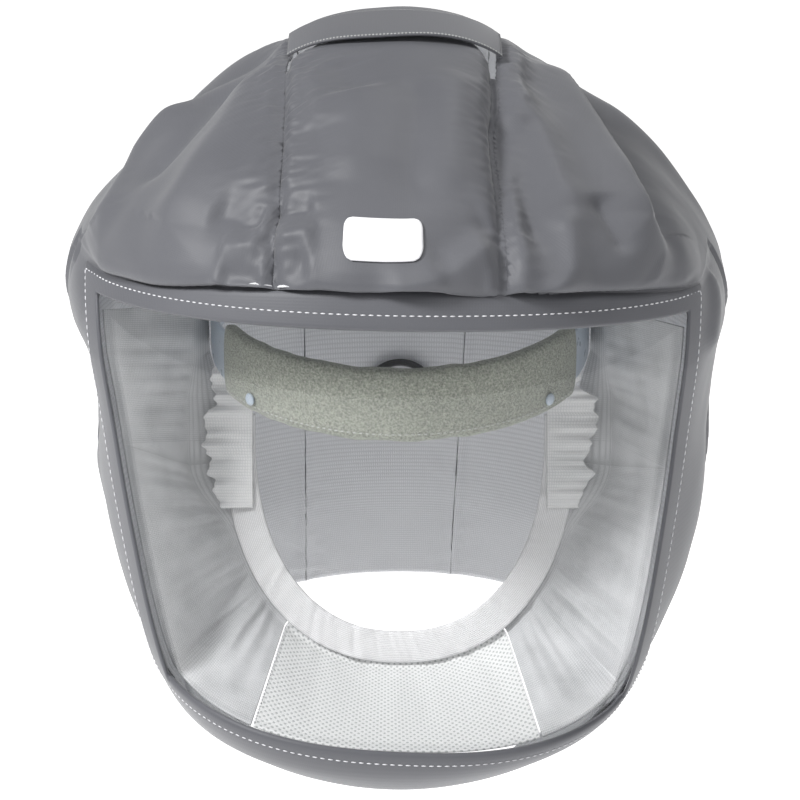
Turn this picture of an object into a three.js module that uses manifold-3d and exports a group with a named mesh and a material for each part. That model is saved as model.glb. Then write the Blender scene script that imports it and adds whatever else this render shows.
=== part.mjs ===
// A loose-fitting respirator head cover: a sewn cloth hood with a wide clear visor in front, a gathered
// face seal that narrows to an elastic round the face, a headband with a foam sweatband that carries it
// on the head, and a collar at the back of the neck where the breathing tube plugs in.
// Millimetres. +Z is up and the visor looks along -Y. The origin is the middle of the headband's ring.
import * as THREE from 'three';
import { mergeVertices } from 'three/addons/utils/BufferGeometryUtils.js';
import Module from 'manifold-3d';

const wasm = await Module();
wasm.setup();

// Hood
const hoodHalfWidth = 144;
const frontReach = 150;
const backReach = 132;
const crownHeight = 143;
const shoulderHeight = 24;
const hemDrop = 150;
const clothWall = 1.6;
const seamGap = 0.35;
const leftSeam = 46;
const rightSeamLow = 37;
const rightSeamHigh = 42;

// Window, as it is seen from the front. Its lower right corner sags in the soft cloth.
const windowTop = 60;
const windowLeft = 122;
const windowRight = 115;
const windowLeftTop = 55;
const windowRightTop = 50;
const windowBottom = -112;
const windowLowLeft = 95;
const windowLowRight = 92;
const windowLeftBottom = -103;
const windowRightBottom = -114;
const windowSideBow = 7;
const windowHem = 6;
const surroundSide = 8;
const surroundTop = 17;
const surroundLowInset = 6;
const surroundBack = 25;

// Visor
const visorWall = 1;
const visorGap = 0.9;
const visorLap = 7;

// Top band and label
const bandFront = -17;
const bandDepth = 40;
const bandWall = 1.4;
const bandGap = 1.4;
const bandLift = 3.2;
const labelWidth = 31;
const labelHeight = 25;
const labelCorner = 4;
const labelWall = 0.5;
const labelMiddle = -8;
const labelRise = 97;

// Face seal and its elastic
const sealWall = 1.1;
const sealGap = 0.9;
const sealLap = 4;
const sealBillow = 7;
const gatherDepth = 2.6;
const gathersPerSide = 8;
const chinPanelGathers = 3;
const seamShare = 0.025;
const faceSetback = 12;
const faceLean = 21.7;
const elasticHalfWidth = 75;
const elasticShoulder = 30;
const elasticDrop = 128;
const elasticTop = 22;
const elasticPower = 2.25;
const elasticWidth = 13.5;
const elasticWall = 1.3;
const sealTuck = 5;
const footReach = 2;
const gussetTop = -2.8;
const gussetBottom = 60;
const gussetWidth = 20;
const gussetWall = 1;
const gussetWave = 2.2;
const stackGap = 0.4;

// Headband and sweatband
const bandHalfWidth = 80;
const bandHalfLength = 98;
const headbandWall = 1.6;
const headbandBottom = 4;
const headbandHeight = 22;
const padWall = 8;
const padBottom = -2;
const padHeight = 35;
const padSpread = 62;
const padSlotGap = 0.4;
const studRadius = 2.6;
const studHeight = 1.4;
const studAngle = 46;
const studRise = 9;

// Neck cuff and air inlet
const cuffWall = 1.2;
const cuffGap = 1.2;
const cuffHeight = 22;
const cuffShow = 5;
const cuffSpread = 78;
const inletBore = 15;
const inletWall = 3;
const inletLength = 30;
const inletFlange = 28;
const inletFlangeWall = 2;
const inletRise = -68;
const inletTilt = 14;
const inletClearance = 0.4;

const CLOTH = { color: 0x66676d, roughness: 0.62, metalness: 0 };
const VISOR = { color: 0xdfe6ea, roughness: 0.08, metalness: 0, transparent: true, opacity: 0.3 };
const SEAL = { color: 0xb9bcbd, roughness: 0.8, metalness: 0 };
const NONWOVEN = { color: 0xeeefee, roughness: 0.85, metalness: 0 };
const ELASTIC = { color: 0xf4f4f8, roughness: 0.75, metalness: 0 };
const FOAM = { color: 0x9da198, roughness: 0.95, metalness: 0 };
const BAND_PLASTIC = { color: 0xc3c8cf, roughness: 0.35, metalness: 0 };
const INLET_PLASTIC = { color: 0x3b3c40, roughness: 0.5, metalness: 0 };

const degrees = Math.PI / 180;
const smooth = (t) => t * t * (3 - 2 * t);
const clamp = (t) => Math.min(1, Math.max(0, t));
const mix = (a, b, t) => a + (b - a) * t;

// Level sections of the hood from the hem to its shoulders. rise is a share of hemDrop below the headband
// and of shoulderHeight above it, width of hoodHalfWidth, wide and front of frontReach, back of backReach.
// wide is where the section is widest. A power of 2 is an ellipse, less is more pointed, more is squarer.
const SECTIONS = [
  { rise: -1.0, width: 0.64, wide: 0.0, front: -0.747, back: 0.727, frontPower: 1.7, backPower: 2.2 },
  { rise: -0.893, width: 0.68, wide: -0.04, front: -0.913, back: 0.773, frontPower: 2.1, backPower: 2.2 },
  { rise: -0.773, width: 0.725, wide: -0.08, front: -0.993, back: 0.818, frontPower: 2.6, backPower: 2.2 },
  { rise: -0.567, width: 0.83, wide: -0.053, front: -1.0, back: 0.879, frontPower: 2.4, backPower: 2.2 },
  { rise: -0.267, width: 0.9, wide: 0.0, front: -0.967, back: 0.939, frontPower: 2.2, backPower: 2.2 },
  { rise: -0.033, width: 0.951, wide: 0.04, front: -0.933, back: 0.977, frontPower: 2.05, backPower: 2.2 },
  { rise: 1.0, width: 1.0, wide: 0.067, front: -0.913, back: 1.0, frontPower: 2.0, backPower: 2.1 },
];
const shoulderLevel = 0.55;
const crownShift = 0.053;
const crownSlim = 0.06;
const crownFrontPower = 0.88;
const crownBackPower = 0.95;

// Soft folds that drape from the crown. An angle is 0 in front and 90 at the right, in degrees, given at
// the fold's top and at its foot, with its spread; top and foot are levels of the hood from 0 to 1.
// height is a share of hoodHalfWidth, and a fold below 0 is a hollow.
const FOLDS = [
  { topAngle: -62, footAngle: -44, spread: 10, top: 0.93, foot: 0.6, height: 0.038 },
  { topAngle: -74, footAngle: -57, spread: 7.5, top: 0.91, foot: 0.63, height: -0.042 },
  { topAngle: -92, footAngle: -66, spread: 9, top: 0.88, foot: 0.58, height: 0.034 },
  { topAngle: -36, footAngle: -30, spread: 6, top: 0.8, foot: 0.62, height: -0.034 },
  { topAngle: -80, footAngle: -78, spread: 24, top: 0.76, foot: 0.48, height: 0.026 },
  { topAngle: -116, footAngle: -108, spread: 12, top: 0.92, foot: 0.4, height: -0.036 },
  { topAngle: 78, footAngle: 42, spread: 8, top: 0.97, foot: 0.6, height: 0.05 },
  { topAngle: 94, footAngle: 60, spread: 8, top: 0.95, foot: 0.6, height: -0.05 },
  { topAngle: 50, footAngle: 33, spread: 5.5, top: 0.9, foot: 0.63, height: 0.026 },
  { topAngle: 34, footAngle: 26, spread: 6, top: 0.86, foot: 0.61, height: -0.036 },
  { topAngle: 80, footAngle: 78, spread: 20, top: 0.74, foot: 0.46, height: 0.026 },
  { topAngle: 116, footAngle: 104, spread: 12, top: 0.9, foot: 0.4, height: 0.036 },
  { topAngle: 5, footAngle: 6, spread: 5, top: 0.93, foot: 0.66, height: -0.016 },
  { topAngle: -12, footAngle: -12, spread: 7, top: 0.95, foot: 0.64, height: 0.018 },
  { topAngle: 150, footAngle: 146, spread: 12, top: 0.9, foot: 0.1, height: 0.024 },
  { topAngle: -150, footAngle: -148, spread: 12, top: 0.9, foot: 0.1, height: 0.024 },
];

const sectionRows = SECTIONS.map((s) => [
  s.rise * (s.rise < 0 ? hemDrop : shoulderHeight),
  s.width * hoodHalfWidth,
  s.wide * frontReach,
  s.front * frontReach,
  s.back * backReach,
  s.frontPower,
  s.backPower,
]);

// A smooth curve through the rows, one value at a time.
function throughRows(rows, place) {
  const i = Math.max(0, Math.min(Math.floor(place), rows.length - 2));
  const t = place - i;
  return rows[i].map((p1, k) => {
    const p2 = rows[i + 1][k];
    const p0 = i > 0 ? rows[i - 1][k] : 2 * p1 - p2;
    const p3 = i + 2 < rows.length ? rows[i + 2][k] : 2 * p2 - p1;
    return 0.5 * (2 * p1 + (p2 - p0) * t + (2 * p0 - 5 * p1 + 4 * p2 - p3) * t * t
      + (3 * p1 - p0 - 3 * p2 + p3) * t * t * t);
  });
}

// The hood's level section at a level from 0, the hem, to 1, the top of the crown.
function sectionAt(level) {
  if (level <= shoulderLevel) {
    const row = throughRows(sectionRows, level / shoulderLevel * (sectionRows.length - 1));
    const [z, half, wide, front, back, frontPower, backPower] = row;
    return { z, half, wide, front, back, frontPower, backPower };
  }
  const [, half, wide, front, back, frontPower, backPower] = sectionRows[sectionRows.length - 1];
  const turn = (level - shoulderLevel) / (1 - shoulderLevel) * Math.PI / 2;
  const out = Math.max(Math.cos(turn), 0);
  const up = Math.sin(turn);
  const middle = wide + crownShift * frontReach * up;
  return {
    z: shoulderHeight + (crownHeight - shoulderHeight) * up,
    half: half * out * (1 - crownSlim * Math.sin(2 * turn) ** 2),
    wide: middle,
    front: middle + (front - wide) * out ** crownFrontPower,
    back: middle + (back - wide) * out ** crownBackPower,
    frontPower,
    backPower,
  };
}

// A point of the hood's outer face before its folds. angle is 0 in front and runs to the right.
function plainPoint(angle, level) {
  const s = sectionAt(level);
  const ahead = Math.cos(angle) > 0;
  const power = ahead ? s.frontPower : s.backPower;
  const c = Math.abs(Math.cos(angle));
  const across = Math.abs(Math.sin(angle));
  const reach = (c ** power + across ** power) ** (-1 / power);
  const depth = (ahead ? s.front : s.back) - s.wide;
  return new THREE.Vector3(s.half * reach * Math.sin(angle), s.wide + depth * reach * c, s.z);
}

function plainNormal(angle, level) {
  const step = 0.004;
  const along = plainPoint(angle + step, level).sub(plainPoint(angle - step, level));
  const low = level - step;
  const high = Math.min(level + step, 0.999);
  const up = plainPoint(angle, high).sub(plainPoint(angle, low));
  return along.cross(up).normalize();
}

function foldHeight(angle, level) {
  let height = 0;
  for (const f of FOLDS) {
    const along = (level - f.foot) / (f.top - f.foot);
    if (along <= 0 || along >= 1) continue;
    const line = mix(f.footAngle, f.topAngle, along) * degrees;
    const away = Math.atan2(Math.sin(angle - line), Math.cos(angle - line)) / (f.spread * degrees);
    height += f.height * hoodHalfWidth * Math.sin(Math.PI * along) * Math.exp(-away * away);
  }
  return height;
}

// A point of the folded hood, out mm outside its outer face.
function hoodPoint(angle, level, out) {
  const normal = plainNormal(angle, Math.min(level, 0.985));
  return plainPoint(angle, level).addScaledVector(normal, foldHeight(angle, level) + out);
}

// The level of the hood whose section lies at the height z.
function levelOf(z) {
  let low = -0.04;
  let high = 0.999;
  for (let i = 0; i < 40; i++) {
    const middle = (low + high) / 2;
    if (sectionAt(middle).z < z) low = middle;
    else high = middle;
  }
  return (low + high) / 2;
}

// The point of the hood's plain front at x and z, out mm outside its outer face.
function frontPoint(x, z, out) {
  const s = sectionAt(levelOf(z));
  const share = clamp(Math.abs(x) / s.half);
  const y = s.wide + (s.front - s.wide) * (1 - share ** s.frontPower) ** (1 / s.frontPower);
  const point = new THREE.Vector3(x, y, z);
  return out === 0 ? point : point.addScaledVector(frontNormal(x, z), out);
}

function frontNormal(x, z) {
  const step = 0.5;
  const across = frontPoint(x + step, z, 0).sub(frontPoint(x - step, z, 0));
  const up = frontPoint(x, z + step, 0).sub(frontPoint(x, z - step, 0));
  return across.cross(up).normalize();
}

// A closed wall between two grids of points, outer[row][column] and inner[row][column]. Columns wrap
// round when closed is true. Rows run up and columns run to the right as seen from outside.
function wallGeometry(outer, inner, closed = false) {
  const rows = outer.length;
  const columns = outer[0].length;
  const faces = [];
  const quad = (a, b, c, d) => faces.push(a, b, c, a, c, d);
  const last = closed ? columns : columns - 1;
  for (let j = 0; j < rows - 1; j++) {
    for (let i = 0; i < last; i++) {
      const k = (i + 1) % columns;
      quad(outer[j][i], outer[j][k], outer[j + 1][k], outer[j + 1][i]);
      quad(inner[j][i], inner[j + 1][i], inner[j + 1][k], inner[j][k]);
    }
  }
  for (let i = 0; i < last; i++) {
    const k = (i + 1) % columns;
    quad(inner[0][i], inner[0][k], outer[0][k], outer[0][i]);
    quad(outer[rows - 1][i], outer[rows - 1][k], inner[rows - 1][k], inner[rows - 1][i]);
  }
  if (!closed) {
    for (let j = 0; j < rows - 1; j++) {
      quad(inner[j][0], outer[j][0], outer[j + 1][0], inner[j + 1][0]);
      quad(outer[j][last], inner[j][last], inner[j + 1][last], outer[j + 1][last]);
    }
  }
  return fromPoints(faces);
}

function fromPoints(points) {
  const geometry = new THREE.BufferGeometry();
  geometry.setAttribute('position', new THREE.Float32BufferAttribute(points.flatMap((p) => [p.x, p.y, p.z]), 3));
  return geometry;
}

// A sheet's two faces: the points moved out and in along the sheet's own normals by half its wall.
function thickened(points, wall) {
  const rows = points.length - 1;
  const columns = points[0].length - 1;
  const normals = points.map((row, j) => row.map((_, i) => {
    const across = points[j][Math.min(i + 1, columns)].clone().sub(points[j][Math.max(i - 1, 0)]);
    const up = points[Math.min(j + 1, rows)][i].clone().sub(points[Math.max(j - 1, 0)][i]);
    return across.cross(up).normalize();
  }));
  const face = (out) => points.map((row, j) => row.map((p, i) => p.clone().addScaledVector(normals[j][i], out)));
  return wallGeometry(face(wall / 2), face(-wall / 2));
}

const grid = (rows, columns, at) => Array.from({ length: rows + 1 },
  (_, j) => Array.from({ length: columns + 1 }, (__, i) => at(i / columns, j / rows)));

// Between a three.js geometry and a solid that can be joined and cut.
function toSolid(geometry) {
  const bare = geometry.index ? geometry.toNonIndexed() : geometry.clone();
  const only = new THREE.BufferGeometry().setAttribute('position', bare.getAttribute('position'));
  const merged = mergeVertices(only, 1e-3);
  return new wasm.Manifold(new wasm.Mesh({
    numProp: 3,
    vertProperties: merged.attributes.position.array,
    triVerts: new Uint32Array(merged.index.array),
  }));
}

function toGeometry(solid) {
  const { vertProperties, triVerts, numProp } = solid.getMesh();
  const geometry = new THREE.BufferGeometry();
  const points = [];
  for (let i = 0; i < vertProperties.length; i += numProp) {
    points.push(vertProperties[i], vertProperties[i + 1], vertProperties[i + 2]);
  }
  geometry.setAttribute('position', new THREE.Float32BufferAttribute(points, 3));
  geometry.setIndex([...triVerts]);
  return geometry;
}

// The largest body of a cut solid, without slivers.
function mainBody(solid) {
  return solid.decompose().sort((a, b) => b.volume() - a.volume())[0];
}

// The window's outline in x and z, grown by out mm, anticlockwise from its upper left corner.
function windowOutline(out) {
  const corners = [
    { x: -windowLeft, z: windowLeftTop },
    { x: -windowLowLeft, z: windowLeftBottom },
    { x: windowLowRight, z: windowRightBottom },
    { x: windowRight, z: windowRightTop },
  ];
  const middles = [
    { x: -(windowLeft + windowLowLeft) / 2 - windowSideBow, z: (windowLeftTop + windowLeftBottom) / 2 },
    { x: 0, z: windowBottom * 2 - (windowLeftBottom + windowRightBottom) / 2 },
    { x: (windowRight + windowLowRight) / 2 + windowSideBow, z: (windowRightTop + windowRightBottom) / 2 },
    { x: 0, z: windowTop * 2 - (windowLeftTop + windowRightTop) / 2 },
  ];
  const steps = [7, 8, 7, 8];
  const points = [];
  corners.forEach((from, side) => {
    const to = corners[(side + 1) % 4];
    const bend = middles[side];
    for (let i = 0; i < steps[side]; i++) {
      const t = i / steps[side];
      const blend = (k) => from[k] * (1 - t) ** 2 + 2 * bend[k] * t * (1 - t) + to[k] * t * t;
      points.push(new THREE.Vector2(blend('x'), blend('z')));
    }
  });
  return grownOutline(points, () => out);
}

// An anticlockwise outline moved outwards by out(point) mm, its corners kept sharp.
function grownOutline(points, out) {
  return points.map((p, i) => {
    const before = points[(i + points.length - 1) % points.length];
    const after = points[(i + 1) % points.length];
    const a = p.clone().sub(before).normalize();
    const b = after.clone().sub(p).normalize();
    const side = new THREE.Vector2(a.y + b.y, -a.x - b.x).normalize();
    const reach = Math.max(side.x * a.y - side.y * a.x, 0.5);
    return p.clone().addScaledVector(side, out(p) / reach);
  });
}

// The surround's outline: a hem round the window, wider over the brow, and the whole chin below it.
function surroundOutline(out) {
  const ring = windowOutline(0);
  const brow = (p) => (p.y > windowRightTop - 1 ? 1 - (p.x / windowRight) ** 2 : 0);
  const grown = grownOutline(ring, (p) => mix(surroundSide, surroundTop, clamp(brow(p))));
  const low = (p) => p.y < Math.max(windowLeftBottom, windowRightBottom) - 1;
  const kept = grown.filter((p) => !low(p));
  const hemWidth = sectionAt(0).half - surroundLowInset;
  const foot = -hemDrop - 10;
  const leftEnd = kept.findIndex((p, i) => i > 0 && p.x > 0);
  const outline = [
    ...kept.slice(0, leftEnd),
    new THREE.Vector2(-hemWidth, foot),
    new THREE.Vector2(hemWidth, foot),
    ...kept.slice(leftEnd),
  ];
  return grownOutline(outline, () => out);
}

// A prism that cuts the front of the hood along an outline in x and z, grown backwards by gap mm.
function frontPrism(outline, gap = 0) {
  const shape = new THREE.Shape(outline);
  const prism = new THREE.ExtrudeGeometry(shape, { depth: frontReach, bevelEnabled: false });
  prism.rotateX(Math.PI / 2).translate(0, -surroundBack + gap, 0);
  return toSolid(prism);
}

const hoodColumns = 42;
const hoodRows = 18;
const frontCrowding = 0.36;

// The angle of one of the hood's columns. They stand closer in front, where the window is.
function columnAngle(i) {
  const turn = i / hoodColumns * 2 * Math.PI;
  return turn - frontCrowding * Math.sin(turn);
}

// The whole hood as one wall, from out mm outside its outer face inwards.
function hoodWall(out, wall) {
  const point = (i, level, depth) => hoodPoint(columnAngle(i), level, depth);
  const rowsOf = (depth) => Array.from({ length: hoodRows },
    (_, j) => Array.from({ length: hoodColumns }, (__, i) => point(i, j / hoodRows, depth)));
  const outer = rowsOf(out);
  const inner = rowsOf(out - wall);
  const faces = [];
  const quad = (a, b, c, d) => faces.push(a, b, c, a, c, d);
  for (let i = 0; i < hoodColumns; i++) {
    const k = (i + 1) % hoodColumns;
    for (let j = 0; j < hoodRows - 1; j++) {
      quad(outer[j][i], outer[j][k], outer[j + 1][k], outer[j + 1][i]);
      quad(inner[j][i], inner[j + 1][i], inner[j + 1][k], inner[j][k]);
    }
    quad(inner[0][i], inner[0][k], outer[0][k], outer[0][i]);
  }
  const top = hoodRows - 1;
  const crown = new THREE.Vector3(0, sectionAt(1).wide, crownHeight + out);
  const underCrown = crown.clone().setZ(crownHeight + out - wall);
  for (let i = 0; i < hoodColumns; i++) {
    const k = (i + 1) % hoodColumns;
    faces.push(outer[top][i], outer[top][k], crown);
    faces.push(inner[top][k], inner[top][i], underCrown);
  }
  return toSolid(fromPoints(faces));
}

// The planes of the two seams that run over the crown. Each is moved gap mm towards the middle.
const leftSeamPlane = () => ({ normal: [1, 0, 0], offset: -leftSeam });
function rightSeamPlane() {
  const lean = Math.atan2(rightSeamHigh - rightSeamLow, crownHeight - windowTop);
  const normal = [-Math.cos(lean), 0, Math.sin(lean)];
  return { normal, offset: normal[0] * rightSeamLow + normal[2] * windowTop };
}

const betweenSeams = (solid, gap) => {
  const left = leftSeamPlane();
  const right = rightSeamPlane();
  return solid.trimByPlane(left.normal, left.offset + gap).trimByPlane(right.normal, right.offset + gap);
};
const flipped = (plane) => ({ normal: plane.normal.map((n) => -n), offset: -plane.offset });

const hood = hoodWall(0, clothWall);
const surroundCut = frontPrism(surroundOutline(0));
const aroundSurround = hood.subtract(frontPrism(surroundOutline(seamGap), seamGap));
const inletAxis = new THREE.Vector3(0, Math.cos(inletTilt * degrees), -Math.sin(inletTilt * degrees));
const inletSeat = hoodPoint(Math.PI, levelOf(inletRise), 0);

function visorSurround() {
  return mainBody(hood.intersect(surroundCut).subtract(frontPrism(windowOutline(0))));
}

function sidePanel(side) {
  const seam = side < 0 ? flipped(leftSeamPlane()) : flipped(rightSeamPlane());
  return mainBody(aroundSurround.trimByPlane(seam.normal, seam.offset + seamGap / 2));
}

function centrePanel(front) {
  const strip = betweenSeams(aroundSurround, seamGap / 2);
  const cut = bandFront + bandDepth / 2;
  const part = front ? strip.trimByPlane([0, -1, 0], -cut + seamGap / 2) : strip.trimByPlane([0, 1, 0], cut + seamGap / 2);
  if (front) return mainBody(part);
  const hole = new THREE.CylinderGeometry(inletBore + inletWall + inletClearance, inletBore + inletWall + inletClearance,
    inletLength * 2, 24);
  hole.applyQuaternion(new THREE.Quaternion().setFromUnitVectors(new THREE.Vector3(0, 1, 0), inletAxis));
  hole.translate(inletSeat.x, inletSeat.y, inletSeat.z);
  return mainBody(part.subtract(toSolid(hole)));
}

// The visor: a clear sheet behind the surround, lapping its hem.
function visor() {
  const sheet = hoodWall(-(clothWall + visorGap), visorWall);
  return mainBody(sheet.intersect(frontPrism(windowOutline(visorLap))));
}

function outlineAt(outline, place) {
  const i = Math.floor(place);
  const from = outline[i % outline.length];
  return from.clone().lerp(outline[(i + 1) % outline.length], place - i);
}

// The height of the hood's outer face over x and y, near the crown.
function crownPoint(x, y, out) {
  const inside = (level) => {
    const s = sectionAt(level);
    const depth = (y < s.wide ? s.front : s.back) - s.wide;
    return (Math.abs(x) / s.half) ** 2 + ((y - s.wide) / depth) ** 2 < 1;
  };
  let low = shoulderLevel;
  let high = 0.9995;
  for (let i = 0; i < 40; i++) {
    const middle = (low + high) / 2;
    if (inside(middle)) low = middle;
    else high = middle;
  }
  const s = sectionAt(low);
  const depth = (y < s.wide ? s.front : s.back) - s.wide;
  const angle = Math.atan2(x / s.half, (y - s.wide) / depth * (y < s.wide ? 1 : -1));
  return hoodPoint(angle, low, out);
}

// The top band: a flap over the crown that covers the front panel's end, its front edge standing open.
function topBand() {
  const right = mix(rightSeamLow, rightSeamHigh, 1);
  const face = (out) => grid(4, 10, (s, t) => {
    const x = mix(-leftSeam, right, s);
    const lift = bandLift * Math.sin(Math.PI * s) * (1 - t) ** 2;
    return crownPoint(x, bandFront + bandDepth * t, out + bandGap + lift);
  });
  return wallGeometry(face(bandWall), face(0));
}

// The blank label on the front panel.
function label() {
  const shape = new THREE.Shape();
  const w = labelWidth / 2;
  const h = labelHeight / 2;
  const columns = 6;
  const rows = 5;
  const face = (out) => grid(rows, columns, (s, t) => {
    const z = mix(-h, h, t);
    const inset = labelCorner * (Math.abs(z) > h - labelCorner ? 1 - Math.sqrt(Math.max(0,
      1 - ((Math.abs(z) - h + labelCorner) / labelCorner) ** 2)) : 0);
    const x = mix(-w + inset, w - inset, s);
    return panelPoint(labelMiddle + x, labelRise + z, out);
  });
  return wallGeometry(face(0.5 + labelWall), face(0.5));
}

// The point of the folded hood in front at x and z.
function panelPoint(x, z, out) {
  const level = levelOf(z);
  const s = sectionAt(level);
  const share = clamp(Math.abs(x) / s.half);
  const forward = (1 - share ** s.frontPower) ** (1 / s.frontPower);
  return hoodPoint(Math.atan2(Math.sign(x) * share, forward), level, out);
}

// The plane of the face opening leans with the chin forward. across is x, down runs from the temples
// along the plane to the chin, and out is towards the visor.
function facePoint(across, down, out) {
  const lean = faceLean * degrees;
  return new THREE.Vector3(across, -faceSetback - down * Math.sin(lean) - out * Math.cos(lean),
    -down * Math.cos(lean) + out * Math.sin(lean));
}

// The elastic's edge in the face plane, inset mm from its outer one. turn is -90 at the left shoulder,
// 0 at the chin and 90 at the right shoulder. Above its shoulders it runs straight up.
function elasticEdge(turn, inset) {
  const c = Math.max(Math.cos(turn * degrees), 0);
  const s = Math.abs(Math.sin(turn * degrees));
  const reach = (c ** elasticPower + s ** elasticPower) ** (-1 / elasticPower);
  const x = (elasticHalfWidth - inset) * reach * Math.sin(turn * degrees);
  const down = elasticShoulder + (elasticDrop - elasticShoulder - inset) * reach * c;
  return { x, down };
}

function elastic() {
  const columns = 36;
  const face = (out) => grid(1, columns, (s, t) => {
    const turn = mix(-90, 90, clamp((s * columns - 1) / (columns - 2)));
    const { x, down } = elasticEdge(turn, elasticWidth * t);
    const end = s < 0.5 / columns || s > 1 - 0.5 / columns;
    return facePoint(x, end ? elasticTop : down, out);
  });
  return wallGeometry(face(elasticWall), face(0));
}

// The white gusset at a temple: a thin flap with a wavy outer edge over the elastic's end.
function gusset(side) {
  const lift = elasticWall + stackGap;
  const inner = elasticHalfWidth - elasticWidth + 1;
  const face = (out) => grid(12, 3, (s, t) => {
    const down = mix(gussetBottom, gussetTop, t);
    const wave = gussetWave * Math.sin(t * Math.PI * 5 + 0.6 * side);
    const outer = inner + gussetWidth * (0.7 + 0.3 * Math.sin(Math.PI * clamp(t * 1.1))) + wave;
    const x = side < 0 ? -mix(outer, inner, s) : mix(inner, outer, s);
    return facePoint(x, down, out);
  });
  return wallGeometry(face(lift + gussetWall), face(lift));
}

// Where the upper end of a side panel of the seal lies, from the headband's side to the elastic's
// shoulder. share runs down the panel. foot is where the seal turns in and end is its edge. All lengths
// are shares of elasticHalfWidth in the face plane: across from the middle, down and out.
const SEAL_ENDS = [
  { share: 0, footAcross: 1.15, footDown: -0.32, footOut: 0.17, endAcross: 1.09, endDown: -0.4, endOut: -0.035 },
  { share: 0.12, footAcross: 1.16, footDown: 0, footOut: 0.065, endAcross: 1.09, endDown: -0.076, endOut: -0.12 },
  { share: 0.22, footAcross: 1.2, footDown: 0.19, footOut: -0.013, endAcross: 1.0, endDown: 0.2, endOut: -0.013 },
  { share: 0.32, footAcross: 1.2, footDown: 0.45, footOut: -0.013, endAcross: 0.93, endDown: 0.45, endOut: -0.013 },
];
const chinTurnLeft = -38;
const chinTurnRight = 35;
const seamTurn = 0.4;

// The foot and the end of the seal's path at a share of a side panel, from its top to the chin panel.
function sealPath(side, share) {
  const last = SEAL_ENDS[SEAL_ENDS.length - 1];
  if (share <= last.share) {
    const k = Math.max(1, SEAL_ENDS.findIndex((row) => row.share >= share));
    const from = SEAL_ENDS[k - 1];
    const to = SEAL_ENDS[k];
    const t = (share - from.share) / (to.share - from.share);
    const at = (name) => mix(from[name], to[name], t) * elasticHalfWidth;
    return {
      foot: facePoint(side * at('footAcross'), at('footDown'), at('footOut')),
      end: facePoint(side * at('endAcross'), at('endDown'), at('endOut')),
    };
  }
  const t = (share - last.share) / (1 - last.share);
  const chinTurn = side < 0 ? chinTurnLeft - seamTurn : chinTurnRight + seamTurn;
  const reach = mix((last.footAcross - 1) * elasticHalfWidth, footReach, smooth(clamp(t * 2.4)));
  return chinPath(mix(side * 83, chinTurn, t), reach);
}

function chinPath(turn, reach) {
  const under = -(stackGap + sealWall / 2);
  const foot = elasticEdge(turn, -reach);
  const end = elasticEdge(turn, sealTuck);
  return { foot: facePoint(foot.x, foot.down, under), end: facePoint(end.x, end.down, under) };
}

// A panel of the face seal between two places on the window's outline. pathAt gives its foot and end.
function sealPanel({ from, to, pathAt, gathers, columns }) {
  const ring = windowOutline(sealLap);
  const start = clothWall + visorGap + visorWall + sealGap + sealWall;
  const away = facePoint(0, 0, 1).sub(facePoint(0, 0, 0));
  const rows = [0, 0.25, 0.55, 0.82, 1];
  const points = rows.map((t) => Array.from({ length: columns + 1 }, (_, i) => {
    const s = i / columns;
    const edge = outlineAt(ring, mix(from, to, s));
    const { foot } = pathAt(s);
    const calm = clamp(Math.min(s, 1 - s) * 6);
    const gather = gatherDepth * Math.sin(s * Math.PI * 2 * gathers) * t * (1 - t) * 4 * calm;
    const point = frontPoint(edge.x, edge.y, -start).lerp(foot, t);
    return point.addScaledVector(away, gather - sealBillow * Math.sin(Math.PI * t) * 0.6);
  }));
  points.push(Array.from({ length: columns + 1 }, (_, i) => pathAt(i / columns).end));
  return thickened(points, sealWall);
}

const sidePath = (side) => (s) => sealPath(side, side < 0 ? s : 1 - s);
const underChin = (s) => chinPath(mix(chinTurnLeft + seamTurn, chinTurnRight - seamTurn, s), footReach);

const chinFrom = 8.4;
const chinTo = 13.6;

// The headband: a plastic strip round the head.
function headbandSolid(grow) {
  const outer = (angle, z, out) => new THREE.Vector3((bandHalfWidth + out) * Math.sin(angle),
    -(bandHalfLength + out) * Math.cos(angle), z);
  const low = headbandBottom - grow;
  const high = headbandBottom + headbandHeight + grow;
  const columns = 36;
  const face = (out) => [low, high].map((z) => Array.from({ length: columns },
    (_, i) => outer(i / columns * 2 * Math.PI, z, out)));
  return wallGeometry(face(headbandWall / 2 + grow), face(-headbandWall / 2 - grow), true);
}

// The sweatband: a foam sleeve over the front of the headband, rounded along its edges.
function sweatband() {
  const profile = [[-1, -0.72], [-0.6, -1], [0.6, -1], [1, -0.6], [1, 0.6], [0.6, 1], [-0.6, 1], [-1, 0.72]];
  const columns = 18;
  const ring = (i) => {
    const angle = mix(-padSpread, padSpread, i / columns) * degrees;
    return profile.map(([out, up]) => {
      const swell = out * padWall / 2;
      return new THREE.Vector3((bandHalfWidth + swell) * Math.sin(angle), -(bandHalfLength + swell) * Math.cos(angle),
        padBottom + padHeight * (1 + up) / 2);
    });
  };
  const rings = Array.from({ length: columns + 1 }, (_, i) => ring(i));
  const faces = [];
  const n = profile.length;
  for (let i = 0; i < columns; i++) {
    for (let k = 0; k < n; k++) {
      const m = (k + 1) % n;
      faces.push(rings[i][k], rings[i + 1][k], rings[i + 1][m], rings[i][k], rings[i + 1][m], rings[i][m]);
    }
  }
  for (let k = 1; k < n - 1; k++) {
    faces.push(rings[0][0], rings[0][k], rings[0][k + 1]);
    faces.push(rings[columns][0], rings[columns][k + 1], rings[columns][k]);
  }
  let pad = toSolid(fromPoints(faces));
  if (pad.volume() < 0) throw new Error('the sweatband faces inwards');
  return mainBody(pad.subtract(toSolid(headbandSolid(padSlotGap))));
}

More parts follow.
